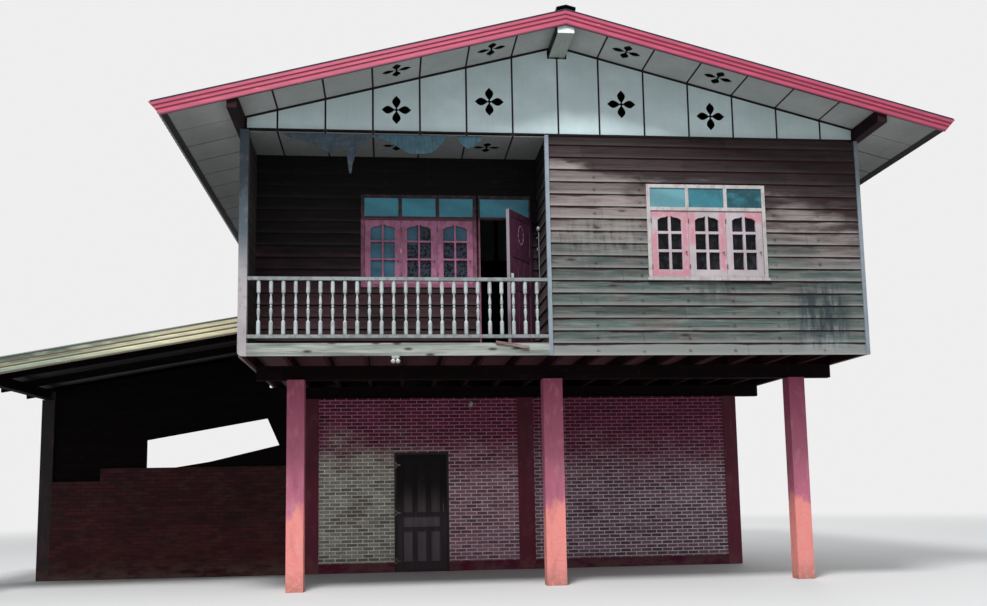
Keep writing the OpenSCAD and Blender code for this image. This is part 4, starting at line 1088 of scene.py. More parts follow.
class Piece:
    """One new mesh, begun from a primitive in its place and shaped with Blender's own tools."""

    # In radians: edges that turn more than this are bevelled, and faces that meet flatter
    # than the second shade smooth.
    BEVELLED = 0.6
    SMOOTH = 0.7

    def __init__(self, name: str) -> None:
        """Take the primitive that was just added.

        Args:
            name: The piece's name.
        """
        self.obj = bpy.context.object
        self.obj.name = self.obj.data.name = name

    @classmethod
    def block(cls, name: str, low: Point, high: Point) -> "Piece":
        """Begin from a box.

        Args:
            name: The piece's name.
            low: Its lowest corner in metres.
            high: Its highest corner in metres.

        Returns:
            The piece.
        """
        clear_selection()
        middle = [(a + b) / 2 for a, b in zip(low, high)]
        bpy.ops.mesh.primitive_cube_add(size=1.0, location=middle)
        bpy.context.object.scale = [b - a for a, b in zip(low, high)]
        settle()
        return cls(name)

    @classmethod
    def turned(cls, name: str, outline: Outline, steps: int) -> "Piece":
        """Turn an outline about the upright axis at the origin, as on a lathe.

        Args:
            name: The piece's name.
            outline: Radius and height of each point in metres, both ends on the axis.
            steps: Sides all round.

        Returns:
            The piece.
        """
        clear_selection()
        at = [Vector((radius, 0.0, height)) for radius, height in outline]
        bpy.ops.mesh.primitive_plane_add(size=0.001, location=at[0])
        settle()
        piece = cls(name)
        bpy.ops.object.mode_set(mode="EDIT")
        bpy.ops.mesh.select_mode(type="VERT")
        bpy.ops.mesh.select_all(action="SELECT")
        bpy.ops.mesh.merge(type="CENTER")
        for here, there in zip(at, at[1:]):
            bpy.ops.mesh.extrude_region_move(TRANSFORM_OT_translate={"value": there - here})
        bpy.ops.mesh.select_all(action="SELECT")
        bpy.ops.mesh.spin(steps=steps, angle=math.tau, center=(0.0, 0.0, 0.0), axis=(0.0, 0.0, 1.0))
        bpy.ops.mesh.select_all(action="SELECT")
        bpy.ops.mesh.remove_doubles(threshold=0.00001)
        bpy.ops.mesh.normals_make_consistent(inside=False)
        leave_edit_mode()
        return piece

    def pick(self, test: Callable[[Vector, Vector], bool]) -> "Piece":
        """Go into edit mode and select the faces that pass a test.

        Args:
            test: Takes a face's middle and normal.

        Returns:
            The piece.
        """
        bpy.ops.object.mode_set(mode="EDIT")
        bpy.ops.mesh.select_mode(type="FACE")
        bpy.ops.mesh.select_all(action="DESELECT")
        shape = bmesh.from_edit_mesh(self.obj.data)
        for face in shape.faces:
            face.select_set(test(face.calc_center_median(), face.normal))
        bmesh.update_edit_mesh(self.obj.data)
        return self

    def inset(self, width: float, lift: float = 0.0) -> "Piece":
        """Inset the selected faces.

        Args:
            width: Width of the rim in metres.
            lift: How far the inner faces rise.

        Returns:
            The piece.
        """
        bpy.ops.mesh.inset(thickness=width, depth=lift)
        return self

    def pull(self, shift: Point) -> "Piece":
        """Extrude the selected faces.

        Args:
            shift: How far they move, in metres.

        Returns:
            The piece.
        """
        bpy.ops.mesh.extrude_region_move(TRANSFORM_OT_translate={"value": shift})
        return self

    def soften(self, width: float, segments: int = 2) -> "Piece":
        """Leave edit mode and bevel the sharp edges.

        Args:
            width: Width of the bevel in metres.
            segments: Steps across it.

        Returns:
            The piece.
        """
        self.alone()
        bevel = self.obj.modifiers.new("edge", "BEVEL")
        bevel.width, bevel.segments = width, segments
        bevel.limit_method, bevel.angle_limit = "ANGLE", self.BEVELLED
        bpy.ops.object.modifier_apply(modifier="edge")
        bpy.ops.object.shade_smooth_by_angle(angle=self.SMOOTH)
        return self

    def alone(self) -> None:
        """Leave edit mode and select this piece and no other."""
        clear_selection()
        self.obj.select_set(True)
        bpy.context.view_layer.objects.active = self.obj

    def place(self, matrix: Matrix) -> "Piece":
        """Move the mesh itself, so that the object stays at the origin.

        Args:
            matrix: Where the mesh goes.

        Returns:
            The piece.
        """
        self.alone()
        self.obj.matrix_world = matrix
        settle()
        return self

    def copies(self, places: list[Matrix]) -> "Piece":
        """Repeat the piece, each time with its own mesh, and join the copies under its name.

        Args:
            places: Where each copy goes; the first piece isn't kept.

        Returns:
            The joined piece.
        """
        name = self.obj.name
        clear_selection()
        twins = []
        for spot in places:
            twin = self.obj.copy()
            twin.data = self.obj.data.copy()
            twin.data.transform(spot)
            bpy.context.scene.collection.objects.link(twin)
            twins.append(twin)
        bpy.ops.object.select_all(action="DESELECT")
        bpy.data.objects.remove(self.obj)
        for twin in twins:
            twin.select_set(True)
        bpy.context.view_layer.objects.active = twins[0]
        if len(twins) > 1:
            bpy.ops.object.join()
        self.obj = bpy.context.view_layer.objects.active
        self.obj.name = self.obj.data.name = name
        return self

    def fit(self, material: Material, body: str = HOUSE) -> Object:
        """Paint the piece and let it ride on a body.

        Args:
            material: Its finish.
            body: The body it moves with.

        Returns:
            The finished object.
        """
        leave_edit_mode()
        self.obj.data.materials.clear()
        self.obj.data.materials.append(material)
        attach(self.obj, body)
        log.info("%s rides on %s, %d faces", self.obj.name, body, len(self.obj.data.polygons))
        return self.obj


def fielded_panel(name: str, width: float, height: float, depth: float, bead: float, slope: float) -> Piece:
    """Model a raised panel with a bead round it, standing on the plane y = 0 and facing -y.

    Args:
        name: The piece's name.
        width: Size of the recess it fills, along x.
        height: Size of the recess along z.
        depth: Depth of the recess.
        bead: Width of the bead.
        slope: Width of the sloped margin of the raised field.

    Returns:
        The panel.
    """
    play = 0.001
    panel = Piece.block(name, (play, -depth * 0.85, play), (width - play, 0.0, height - play))
    panel.pick(lambda middle, normal: normal.y < -0.5)
    panel.inset(bead).inset(bead * 0.3, -depth * 0.6).inset(bead * 0.5)
    panel.inset(slope, depth * 0.55).inset(0.002)
    return panel.soften(0.0012, 1)


@dataclass
class Undercroft:
    """Posts, beams, joists, floor and slab of the open ground floor."""

    dresser: Dresser
    lamp_low: Point = (-2.175, -1.064, 2.922)
    lamp_high: Point = (-2.079, -1.030, 2.951)
    lamp_head: Outline = (
        (0.0, 0.0), (0.012, 0.001), (0.024, 0.008), (0.030, 0.020), (0.029, 0.034), (0.021, 0.046),
        (0.014, 0.052), (0.014, 0.066), (0.0, 0.066))
    heads_apart: float = 0.072
    heads_z: float = 2.858
    heads_lean: float = 0.25
    strip_low: Point = (-0.185, -0.016, -0.018)
    strip_high: Point = (0.185, 0.0, 0.018)
    strip_at: Point = (-0.660, -1.064, 3.088)
    strip_lean: float = 6.0
    strip_bends: Outline = ((-0.19, 0.004), (0.12, -0.006), (0.19, -0.012))

    def build(self) -> None:
        """Dress the structure below the upper rooms and hang its lamp."""
        wear = self.dresser.wear
        # The posts' upper parts are darkened as painted shade of the house above.
        wear(RenderedPost("#F0948E", "#C4708A", "#A04A6A", turn_z=(1.14, 1.34)), "salmon_wall_paint",
             "front_posts")
        wear(RenderedPost("#6A2238", "#54182C", turn_z=(1.4, 2.2), rubbed=0.04), "maroon_wall_paint",
             "middle_posts", "rear_posts")
        wear(TrowelledCement(), "trowelled_cement", "ground_slab")
        # Dark maroon timber, darkened to near black as painted shade under the floor.
        wear(Timber("#160A0C", "#0C0506", Run.ALONG_X, gloss=0.08, dust=0.05), "beam_timber", "main_beams")
        wear(Timber("#2A1016", "#18080C", Run.ALONG_Y, below="#32141C", gloss=0.1, dust=0.06),
             "joist_timber", "floor_joists")
        wear(FloorBoards("#7A6A60", "#4A3A36", "#4E2030"), "worn_floor_boards", "floor_boards")
        wear(Timber("#A8AEA8", "#747A76", Run.ALONG_X, knots=0.9, below="#4A2C34"), "bleached_floor_edge",
             "front_floor_edge")
        wear(Timber("#8E8880", "#5E5652", Run.ALONG_Y, knots=0.5), "weathered_floor_edge",
             "side_floor_edges")
        self.hang_lamp()
        self.lift_splinter()

    def hang_lamp(self) -> None:
        """Model the white two-headed lamp under the floor edge."""
        base = Piece.block("porch_lamp_base", self.lamp_low, self.lamp_high)
        base.pick(lambda at, normal: normal.z < -0.5).inset(0.006).pull((0.0, 0.0, -0.010))
        base.soften(0.003).fit(self.dresser.shared("white_enamel"))
        x, y, _ = ((a + b) / 2 for a, b in zip(self.lamp_low, self.lamp_high))
        heads = [move(x + side * self.heads_apart / 2, y, self.heads_z)
                 @ Matrix.Rotation(-side * self.heads_lean, 4, "Y") for side in (-1, 1)]
        glass = Piece.turned("porch_lamp_heads", self.lamp_head, 18)
        glass.soften(0.001, 1).copies(heads).fit(self.dresser.shared("opal_glass"))

    def lift_splinter(self) -> None:
        """Model the strip of board that has sprung from the floor edge."""
        strip = Piece.block("sprung_board_strip", self.strip_low, self.strip_high)
        bpy.ops.object.mode_set(mode="EDIT")
        bpy.ops.mesh.select_all(action="SELECT")
        bpy.ops.mesh.subdivide(number_cuts=5)
        strip.pick(lambda at, normal: normal.x > 0.5).pull((0.03, 0.0, -0.008))
        strip.pick(lambda at, normal: normal.x < -0.5).pull((-0.025, 0.0, 0.006))
        for bend_x, drop in self.strip_bends:
            strip.pick(lambda at, normal, bend_x=bend_x: abs(at.x - bend_x) < 0.05)
            bpy.ops.transform.translate(value=(0.0, -0.003, drop))
        strip.soften(0.0015, 1).place(move(*self.strip_at) @ turn(self.strip_lean, "Y"))
        strip.fit(self.dresser.shared("split_heartwood"))


@dataclass
class BrickRoom:
    """The brick walls, pilasters and door of the ground floor."""

    dresser: Dresser
    door_x: float = -2.090
    door_width: float = 0.790
    door_face: float = 2.717
    door_back: float = 2.757
    recess: float = 0.010
    stile: float = 0.105
    gap: float = 0.079
    rows: tuple[tuple[float, float, int], ...] = ((0.160, 0.630, 3), (0.700, 0.860, 1), (0.930, 1.741, 3))
    bulb_x: float = -0.892
    bulb_z: float = 2.640
    holder: Outline = (
        (0.0, 0.0), (0.034, 0.0), (0.036, 0.006), (0.030, 0.014), (0.020, 0.018), (0.019, 0.046),
        (0.015, 0.050), (0.0, 0.050))
    bulb: Outline = (
        (0.0, 0.0), (0.013, 0.0), (0.014, 0.022), (0.026, 0.048), (0.034, 0.074), (0.033, 0.092),
        (0.024, 0.107), (0.010, 0.114), (0.0, 0.115))

    def build(self) -> None:
        """Dress the brick room, panel its door and fit the bulb."""
        wear = self.dresser.wear
        # The lower and left-hand bricks are paler, partly faded and partly painted light from the ground.
        front = Brickwork("#682340", "#7E4A60", "#A09C92", "#B8849A", "#F2D6DE", "#F4FAEC", "#641A38",
                          turn_z=(2.25, 1.50), side_x=(-1.2, -2.1))
        wear(front, "faded_bounce_lit_brick_left", "brick_wall_left_of_door", "brick_wall_over_door")
        near = Brickwork("#66203E", "#A07082", "#A07082", "#B27E94", "#F6EAF0", "#F6EAF0", "#641A38",
                         turn_z=(2.3, 1.2))
        wear(near, "faded_bounce_lit_brick_right", "brick_wall_right_of_door")
        plain = Brickwork("#5E1E38", "#82626E", "#82626E", "#A06C84", "#E6E0E8", "#E6E0E8", "#581634",
                          turn_z=(2.35, 0.95))
        wear(plain, "maroon_brick", "front_right_brick_wall")
        outer = Brickwork("#421828", "#48262F", "#48262F", "#6E4A56", "#8A6C76", "#8A6C76", "#461429",
                          turn_z=(1.6, 0.8))
        wear(outer, "outer_brick", "side_brick_walls", "back_brick_walls")
        # Near black as painted shade under the lean-to roof, with real wash patches.
        low = Brickwork("#3C161C", "#4A1C22", "#4A1C22", "#2A1418", "#3A2022", "#3A2022", "#200E10",
                        foot_z=0.0, wash=("#5A4644", 0.14), turn_z=(1.2, 0.4))
        wear(low, "lean_to_shade_brick", "lean_to_low_wall")
        wear(Timber("#1E1618", "#120C0E", Run.UPRIGHT, rough=0.5), "stained_door_frame", "ground_door_frame")
        # Near black toward the top as painted shade under the floor; the dark panel edges are painted shade
        # too.
        stiles = Timber("#453D42", "#3B3338", Run.UPRIGHT, rough=0.6, high=("#0A0608", 0.75, 1.35),
                        gloss=0.15, dust=0.10, seam_dirt_and_shade=0.95)
        wear(stiles, "stained_door_frame_work", "ground_door_leaf")
        panels = replace(stiles, face="#70686E", deep="#645C62", high=("#170F12", 0.75, 1.45))
        stain = panels.make("stained_door_panels")
        wear(DullSteel(), "dull_steel", "ground_door_handle", "hinge_frame_halves", "hinge_leaf_halves")
        self.panel_door(stain)
        self.fit_bulb()

    def panel_door(self, stain: Material) -> None:
        """Fill the recesses of both faces with fielded panels.

        Args:
            stain: The panels' finish.
        """
        open_width = self.door_width - 2 * self.stile
        for low, high, count in self.rows:
            width = (open_width - (count - 1) * self.gap) / count
            tall = high - low
            panel = fielded_panel(f"door_panel_{round(low * 1000)}", width, tall, self.recess, 0.010,
                                  min(0.022, tall / 6))
            places = []
            for i in range(count):
                x = self.door_x + self.stile + i * (width + self.gap)
                places.append(move(x, self.door_face + self.recess, low))
                places.append(move(x + width, self.door_back - self.recess, low) @ turn(180.0, "Z"))
            panel.copies(places).fit(stain, DOOR)

    def fit_bulb(self) -> None:
        """Model the bare bulb in its holder on the wall."""
        holder = Piece.turned("wall_bulb_holder", self.holder, 20).soften(0.001, 1)
        holder.place(move(self.bulb_x, self.door_face, self.bulb_z) @ turn(90.0, "X"))
        holder.fit(self.dresser.shared("white_enamel"))
        bulb = Piece.turned("wall_bulb", self.bulb, 20).soften(0.001, 1)
        bulb.place(move(self.bulb_x, self.door_face - 0.046, self.bulb_z) @ turn(78.0, "X"))
        bulb.fit(self.dresser.shared("opal_glass"))


@dataclass
class UpperWalls:
    """Lapped board walls, trims and posts of the upper storey."""

    dresser: Dresser
    lamp_at: Point = (-0.176, -0.358, 4.771)
    lamp: Outline = (
        (0.0, 0.0), (0.034, 0.0), (0.036, 0.008), (0.034, 0.018), (0.026, 0.030), (0.012, 0.036),
        (0.0, 0.037))
    conduit_foot: float = 3.95
    stains: tuple[tuple[Patch, str, float], ...] = (
        ((3.10, 3.78, 3.10, 3.86), "#2A3238", 0.85), ((3.20, 3.70, 3.04, 3.14), "#A8B2B8", 0.55),
        ((1.75, 2.35, 3.66, 3.88), "#3A3636", 0.60), ((0.10, 0.55, 3.95, 4.40), "#4A4446", 0.35),
        ((0.02, 1.12, 4.30, 4.72), "#A4A6A2", 0.22))

    def build(self) -> None:
        """Dress the upper walls and fit the small lamp beside the veranda door."""
        wear = self.dresser.wear
        # The dark top is partly sheltered wood and partly painted eave shadow.
        wear(LapBoards("#7F7674", "#4E5B58", "#281A1E", "#8C908E", brown="#503C3A", line="#300F1A",
                       stains=self.stains), "weathered_lap_boards", "front_room_wall")
        side = LapBoards("#857F7C", "#6E6E6A", "#4A3E3C", "#A0A09A", tones=(0.75, 1.18))
        wear(side, "side_lap_boards", "right_side_wall", "back_wall")
        # The faces toward the veranda are darkened as painted shade.
        wear(replace(side, inner="#1E1416"), "end_lap_boards", "left_side_wall")
        # Near black as painted veranda shade, darkest toward the ceiling; little weathered under the veranda
        # roof.
        wear(LapBoards("#110B0D", "#3A242A", "#050304", "#4A3236", brown="#120A0C", line="#050304",
                       top_z=(4.8, 4.0), weather=0.08), "sheltered_shade_painted_boards", "veranda_back_wall")
        # Dark as painted veranda shade, darker toward the top.
        wear(LapBoards("#2A2022", "#4A3C42", "#0E0A0C", "#5A4A4C", brown="#1A1014", line="#060405",
                       top_z=(5.3, 4.6), weather=0.2), "return_lap_boards", "return_wall")
        wear(OldPaint("#88949E", "#6E767C", 0.16), "blue_grey_paint", "corner_posts")
        # Bluish grey above 3.7 m as painted shade.
        wear(OldPaint("#A8A2A6", "#7A6E74", 0.20, high=("#42505A", 3.7, 4.6)), "veranda_post_paint",
             "veranda_corner_post")
        wear(Timber("#241418", "#180C10", Run.ALONG_Y, end="#2A161C", gloss=0.12, dust=0.06),
             "plate_timber", "wall_plates")
        self.fit_lamp()

    def fit_lamp(self) -> None:
        """Model the small round lamp and the thin conduit below it."""
        x, y, z = self.lamp_at
        lamp = Piece.turned("veranda_wall_lamp", self.lamp, 20).soften(0.001, 1)
        lamp.place(move(x, y, z) @ turn(-90.0, "Y")).fit(self.dresser.shared("white_enamel"))
        pipe = Piece.block("veranda_conduit", (x - 0.014, y - 0.006, self.conduit_foot),
                           (x - 0.002, y + 0.006, z - 0.03))
        pipe.pick(lambda at, normal: normal.z < -0.5).inset(0.002).pull((0.0, 0.0, -0.02))
        pipe.soften(0.004, 2).fit(self.dresser.shared("grey_conduit"))


@dataclass(frozen=True)
class LeafRow:
    """Equal window leaves side by side, with the sizes that place their ironmongery."""

    x: float
    width: float
    step: float
    y: float
    low: float
    high: float
    count: int = 3


@dataclass
class Windows:
    """Frames, leaves and glass, with the veranda's door."""

    dresser: Dresser
    rows: tuple[LeafRow, ...] = (LeafRow(1.187, 0.49733, 0.50033, -1.049, 3.981, 4.849),
                                 LeafRow(-2.530, 0.48767, 0.49067, -0.151, 4.049, 4.929))
    worn: tuple[Patch, ...] = (
        (1.187, 1.684, 4.76, 4.86), (1.60, 1.684, 3.98, 4.85), (1.187, 1.27, 4.00, 4.60),
        (1.187, 1.684, 3.98, 4.06), (2.10, 2.185, 4.05, 4.85), (2.45, 2.69, 4.70, 4.85),
        (1.70, 1.78, 4.4, 4.85))
    hinge: Outline = ((0.0, 0.0), (0.005, 0.0), (0.006, 0.002), (0.006, 0.058), (0.005, 0.060), (0.0, 0.060))
    pull: Outline = ((0.0, 0.0), (0.011, 0.0), (0.012, 0.003), (0.006, 0.006), (0.006, 0.014),
                     (0.012, 0.020), (0.011, 0.026), (0.0, 0.028))
    hinge_in: Span = (0.10, 0.16)
    pull_in: Span = (0.04, 0.32)
    door_hinge: Point = (-0.285, -0.163, 3.116)
    door_width: float = 0.665
    door_thick: float = 0.045
    door_turn: float = 55.0
    door_stile: float = 0.08
    door_recess: float = 0.008
    door_rows: tuple[tuple[float, float, int], ...] = (
        (0.120, 0.768, 3), (0.848, 1.2065, 3), (1.2865, 1.748, 1))
    wreath_ring: Span = (0.085, 0.011)
    wreath_scale: Point = (0.85, 0.45, 1.45)
    wreath_z: float = 1.53
    latch_at: Point = (0.028, 0.0, 0.92)

    def build(self) -> None:
        """Dress the windows and the upper door, and fit their ironmongery."""
        wear = self.dresser.wear
        wear(OldPaint("#B4B0B0", "#94787E", 0.24, dirt_and_shade="#4A4244"), "chalky_frame_paint", "front_window_frame")
        wear(OldPaint("#B2A8AE", "#C07686", 0.04, dirt_and_shade="#4A3438", worn=self.worn), "flaked_leaf_paint",
             "front_window_leaves")
        wear(OldPaint("#8E546C", "#5E3044", 0.3, dirt_and_shade="#1A0C12", high=("#160A10", 4.90, 4.97)),
             "pink_frame_paint", "veranda_window_frame")
        wear(OldPaint("#AE7090", "#8A4C68", 0.3, dirt_and_shade="#2A1018"), "pink_leaf_paint", "veranda_window_leaves")
        door_paint = wear(OldPaint("#5C3048", "#402032", 0.3, dirt_and_shade="#1A0C12",
                                   edge=("#8E8890", (-0.574, -0.819, 0.0))), "maroon_door_paint",
                          "veranda_door_leaf")
        wear(OldPaint("#A8A29A", "#7A6E68", 0.35), "grey_joinery_paint", "side_and_back_windows")
        # The front lights darken toward the right as painted eave shadow.
        lights = PaneGlass("#328BA3", "#4A9AAA", (
            ((1.1, 1.68, 4.8, 5.3), "#5E929C"), ((1.68, 2.2, 4.8, 5.3), "#2E6C7A"),
            ((2.2, 2.9, 4.8, 5.3), "#124A56")), rough=0.22, shine=0.35)
        wear(lights, "teal_glass", "transom_glass")
        panes = PaneGlass("#08080D", "#262C3A", (
            ((-2.55, -2.06, 4.0, 5.0), "#46748A"), ((-2.04, -1.82, 4.6, 5.0), "#3E6A7E"),
            ((-1.56, -1.07, 4.65, 5.0), "#3A667A")), figure=0.30, figure_x=(-2.0, -1.0), shine=0.12)
        wear(panes, "dark_glass", "leaf_glass")
        self.hinge_leaves()
        leaf = (move(*self.door_hinge) @ turn(self.door_turn, "Z")
                @ move(-self.door_width, -self.door_thick, 0.0))
        self.panel_door(leaf, door_paint)
        self.carve_door(leaf)

    def hinge_leaves(self) -> None:
        """Model one butt hinge and one pull, and repeat them on the leaves."""
        steel = self.dresser.shared("dull_steel_fittings")
        foot, head = self.hinge_in
        aside, up = self.pull_in
        knuckle = Piece.turned("window_hinges", self.hinge, 10).soften(0.0005, 1)
        knuckle.copies([move(row.x + i * row.step + 0.004, row.y - 0.005, z) for row in self.rows
                        for i in range(row.count) for z in (row.low + foot, row.high - head)]).fit(steel)
        pull = Piece.turned("window_pulls", self.pull, 12).soften(0.0008, 1)
        pull.copies([move(row.x + i * row.step + row.width - aside, row.y, row.low + up) @ turn(90.0, "X")
                     for row in self.rows for i in range(row.count)]).fit(steel)

    def panel_door(self, leaf: Matrix, paint: Material) -> None:
        """Fill the open door's recesses with fielded panels on both faces.

        Args:
            leaf: Where the door's own lower left corner stands.
            paint: The door's finish.
        """
        back = move(self.door_width, self.door_thick, 0.0) @ turn(180.0, "Z")
        for low, high, count in self.door_rows:
            width = (self.door_width - 2 * self.door_stile) / count
            panel = fielded_panel(f"veranda_door_panel_{round(low * 1000)}", width, high - low,
                                  self.door_recess, 0.007, 0.016)
            places = []
            for i in range(count):
                spot = move(self.door_stile + i * width, self.door_recess, low)
                places += [leaf @ spot, leaf @ back @ spot]
            panel.copies(places).fit(paint)

    def carve_door(self, leaf: Matrix) -> None:
        """Lay a carved wreath on the open door and fit its latch.

        Args:
            leaf: Where the door's own lower left corner stands.
        """
        ring, thick = self.wreath_ring
        wide, deep, tall = self.wreath_scale
        clear_selection()
        bpy.ops.mesh.primitive_torus_add(major_segments=40, minor_segments=8, major_radius=ring,
                                         minor_radius=thick, rotation=(math.radians(90.0), 0.0, 0.0))
        bpy.context.object.scale = (wide, 1.0, 1.0)
        settle()
        wreath = Piece("carved_wreath")
        wreath.obj.scale = (1.0, deep, tall)
        settle()
        wreath.pick(lambda at, normal: int(math.atan2(at.z / tall, at.x / wide) * 10 / math.pi + 20) % 2 == 0)
        wreath.inset(0.002, 0.0025).soften(0.0006, 1)
        wreath.place(leaf @ move(self.door_width / 2, 0.003, self.wreath_z))
        wreath.fit(self.dresser.shared("rubbed_door_paint"))
        lever = Piece.block("veranda_door_latch", (0.0, -0.010, -0.05), (0.024, 0.0, 0.05))
        lever.pick(lambda at, normal: normal.y < -0.5).inset(0.003, 0.002)
        lever.pick(lambda at, normal: normal.y < -0.9 and abs(at.z) < 0.02).inset(0.004)
        lever.pull((0.0, -0.022, 0.0)).soften(0.002)
        lever.place(leaf @ move(*self.latch_at)).fit(self.dresser.shared("white_enamel"))


@dataclass(frozen=True)
class Film:
    """A torn sheet of plastic film, with the points of its lower edge as x and z."""

    name: str
    finish: str
    top: float
    edge: Outline


@dataclass
class Veranda:
    """The veranda's rail, balusters, ceiling and the torn film under it."""

    dresser: Dresser
    film_y: float = -1.038
    ceiling_z: float = 5.809
    column: float = 0.009
    mesh_rows: int = 14
    before: float = 0.006
    least_drop: float = 0.014
    fold_growth: float = 8.0
    tear: tuple[Point, ...] = ((0.006, 151.0, 0.0), (0.004, 263.0, 1.0))
    folds: tuple[Point, ...] = ((0.008, 23.0, 0.8), (0.004, 61.0, 0.0))
    sway: tuple[Point, ...] = ((0.012, 17.0, 0.0),)
    films: tuple[Film, ...] = (
        Film("torn_film_left", "slate_film", 5.809, (
            (-3.53, 5.785), (-3.32, 5.715), (-3.14, 5.660), (-2.985, 5.591), (-2.950, 5.560),
            (-2.938, 5.526), (-2.920, 5.560), (-2.905, 5.610), (-2.80, 5.640), (-2.735, 5.596),
            (-2.714, 5.590), (-2.615, 5.598), (-2.54, 5.700), (-2.463, 5.750), (-2.33, 5.785))),
        Film("torn_film_strip", "slate_film", 5.660, (
            (-2.722, 5.560), (-2.706, 5.400), (-2.690, 5.294), (-2.660, 5.300), (-2.648, 5.420),
            (-2.630, 5.480), (-2.612, 5.560))),
        Film("torn_film_middle", "teal_film", 5.809, (
            (-2.32, 5.770), (-2.22, 5.720), (-2.10, 5.660), (-2.02, 5.615), (-1.93, 5.570),
            (-1.78, 5.565), (-1.66, 5.580), (-1.58, 5.640), (-1.52, 5.700), (-1.47, 5.770))),
        Film("torn_film_right", "teal_film", 5.809, (
            (-1.32, 5.770), (-1.26, 5.700), (-1.18, 5.650), (-1.12, 5.670), (-1.07, 5.720),
            (-1.01, 5.775))))

    def build(self) -> None:
        """Dress the veranda and hang the film."""
        wear = self.dresser.wear
        wear(OldPaint("#868E90", "#686A68", 0.35, Run.ALONG_X, dirt_and_shade="#2E2628"), "rail_paint", "veranda_rails")
        wear(OldPaint("#AEB6B8", "#86847E", 0.25, dirt_and_shade="#2E2628"), "baluster_paint", "balusters")
        wear(PanelBoard("#9EA4A6", "#5A5C5C"), "ceiling_board", "veranda_ceiling")
        wear(Timber("#2A1C22", "#1A1014", Run.ALONG_Y), "ceiling_batten", "ceiling_battens")
        for film in self.films:
            self.hang(film)

    def hang(self, film: Film) -> None:
        """Model one torn sheet of film with its ragged lower edge and its folds.

        Args:
            film: The sheet.
        """
        top, edge = film.top, film.edge
        x0, x1 = edge[0][0], edge[-1][0]
        clear_selection()
        bpy.ops.mesh.primitive_grid_add(x_subdivisions=round((x1 - x0) / self.column),
                                        y_subdivisions=self.mesh_rows, size=1.0)
        sheet = Piece(film.name)
        nearer = self.before * (self.ceiling_z - top > 0.01)
        for point in sheet.obj.data.vertices:
            along, down = point.co.x + 0.5, 0.5 - point.co.y
            x = x0 + along * (x1 - x0)
            left, right = next((a, b) for a, b in zip(edge, edge[1:]) if x <= b[0] + 1e-6)
            share = (x - left[0]) / (right[0] - left[0])
            foot = left[1] + share * (right[1] - left[1]) + ripple(x, self.tear)
            drop = (top - min(foot, top - self.least_drop)) * down
            level = min(1.0, (self.ceiling_z - top + drop) * self.fold_growth)
            point.co = (x + down * ripple(x, self.sway),
                        self.film_y - nearer + (ripple(x, self.folds) + 0.01) * level, top - drop)
        bpy.ops.object.shade_smooth()
        sheet.fit(self.dresser.shared(film.finish))


@dataclass
class Roof:
    """Gables, soffits, roof frame, sheets and fascias."""

    dresser: Dresser
    purlin_x: tuple[float, ...] = (1.286, 2.451, 3.615, 4.780)
    crest: float = 0.1296
    first_y: float = -1.815 + 0.6 * 0.1296
    crests: int = 71
    crest_step: int = 3
    above_roof: float = 9.0
    screw: Outline = (
        (0.0, -0.004), (0.016, -0.002), (0.014, 0.001), (0.008, 0.002), (0.007, 0.009), (0.0, 0.010))

    def build(self) -> None:
        """Dress the roof and drive its screws."""
        wear = self.dresser.wear
        wear(PanelBoard("#D8ECF0", "#A4BABE", 0.10), "gable_board", "gable_panels")
        wear(PanelBoard("#B2B8B8", "#6E706E", 0.15), "soffit_board", "gable_soffit_panels",
             "eave_soffit_panels")
        wear(Timber("#2A1A20", "#1A1014", Run.UPRIGHT), "joint_strip", "gable_studs")
        wear(Timber("#2A1A20", "#1A1014", Run.ALONG_Y), "soffit_strip", "soffit_battens")
        wear(Timber("#2A2C2E", "#1E2022", Run.ALONG_Y, end="#DDE4E4", below="#A8B2AC"), "ridge_beam_paint",
             "ridge_beam")
        wear(Timber("#5A4A44", "#3A2E2C", Run.ALONG_X), "rafter_timber", "rafters")
        wear(Timber("#5A4A44", "#3A2E2C", Run.ALONG_Y), "purlin_timber", "purlins")
        wear(CorrugatedSteel("#6E7076", "#6A4438"), "weathered_sheet", "roof_sheets")
        wear(CorrugatedSteel("#48464E", "#5A3A34"), "ridge_sheet", "ridge_cap")
        fascia = MouldedFascia("#B04462", "#82203C", "#B04462", 0.262, 0.190, 7.192, (20.0, 21.0))
        wear(fascia, "pink_fascia_paint", "gable_fascias")
        wear(OldPaint("#2E2A32", "#1E1A20", 0.3, Run.ALONG_Y), "dark_eave_paint", "eave_fascias")
        self.drive_screws()

    def drive_screws(self) -> None:
        """Set a screw with its washer on every third crest over each purlin."""
        sheets = self.dresser.nodes["roof_sheets"]
        places = []
        for row, x in enumerate(self.purlin_x):
            for side in (-1, 1):
                for i in range(row % 2, self.crests, self.crest_step):
                    above = (side * x, self.first_y + i * self.crest, self.above_roof)
                    hit, at, normal, _ = sheets.ray_cast(above, (0.0, 0.0, -1.0))
                    if hit:
                        places.append(move(*at) @ normal.to_track_quat("Z", "Y").to_matrix().to_4x4())
        screw = Piece.turned("roof_screws", self.screw, 6)
        screw.copies(places).fit(self.dresser.shared("dull_steel_fittings"))


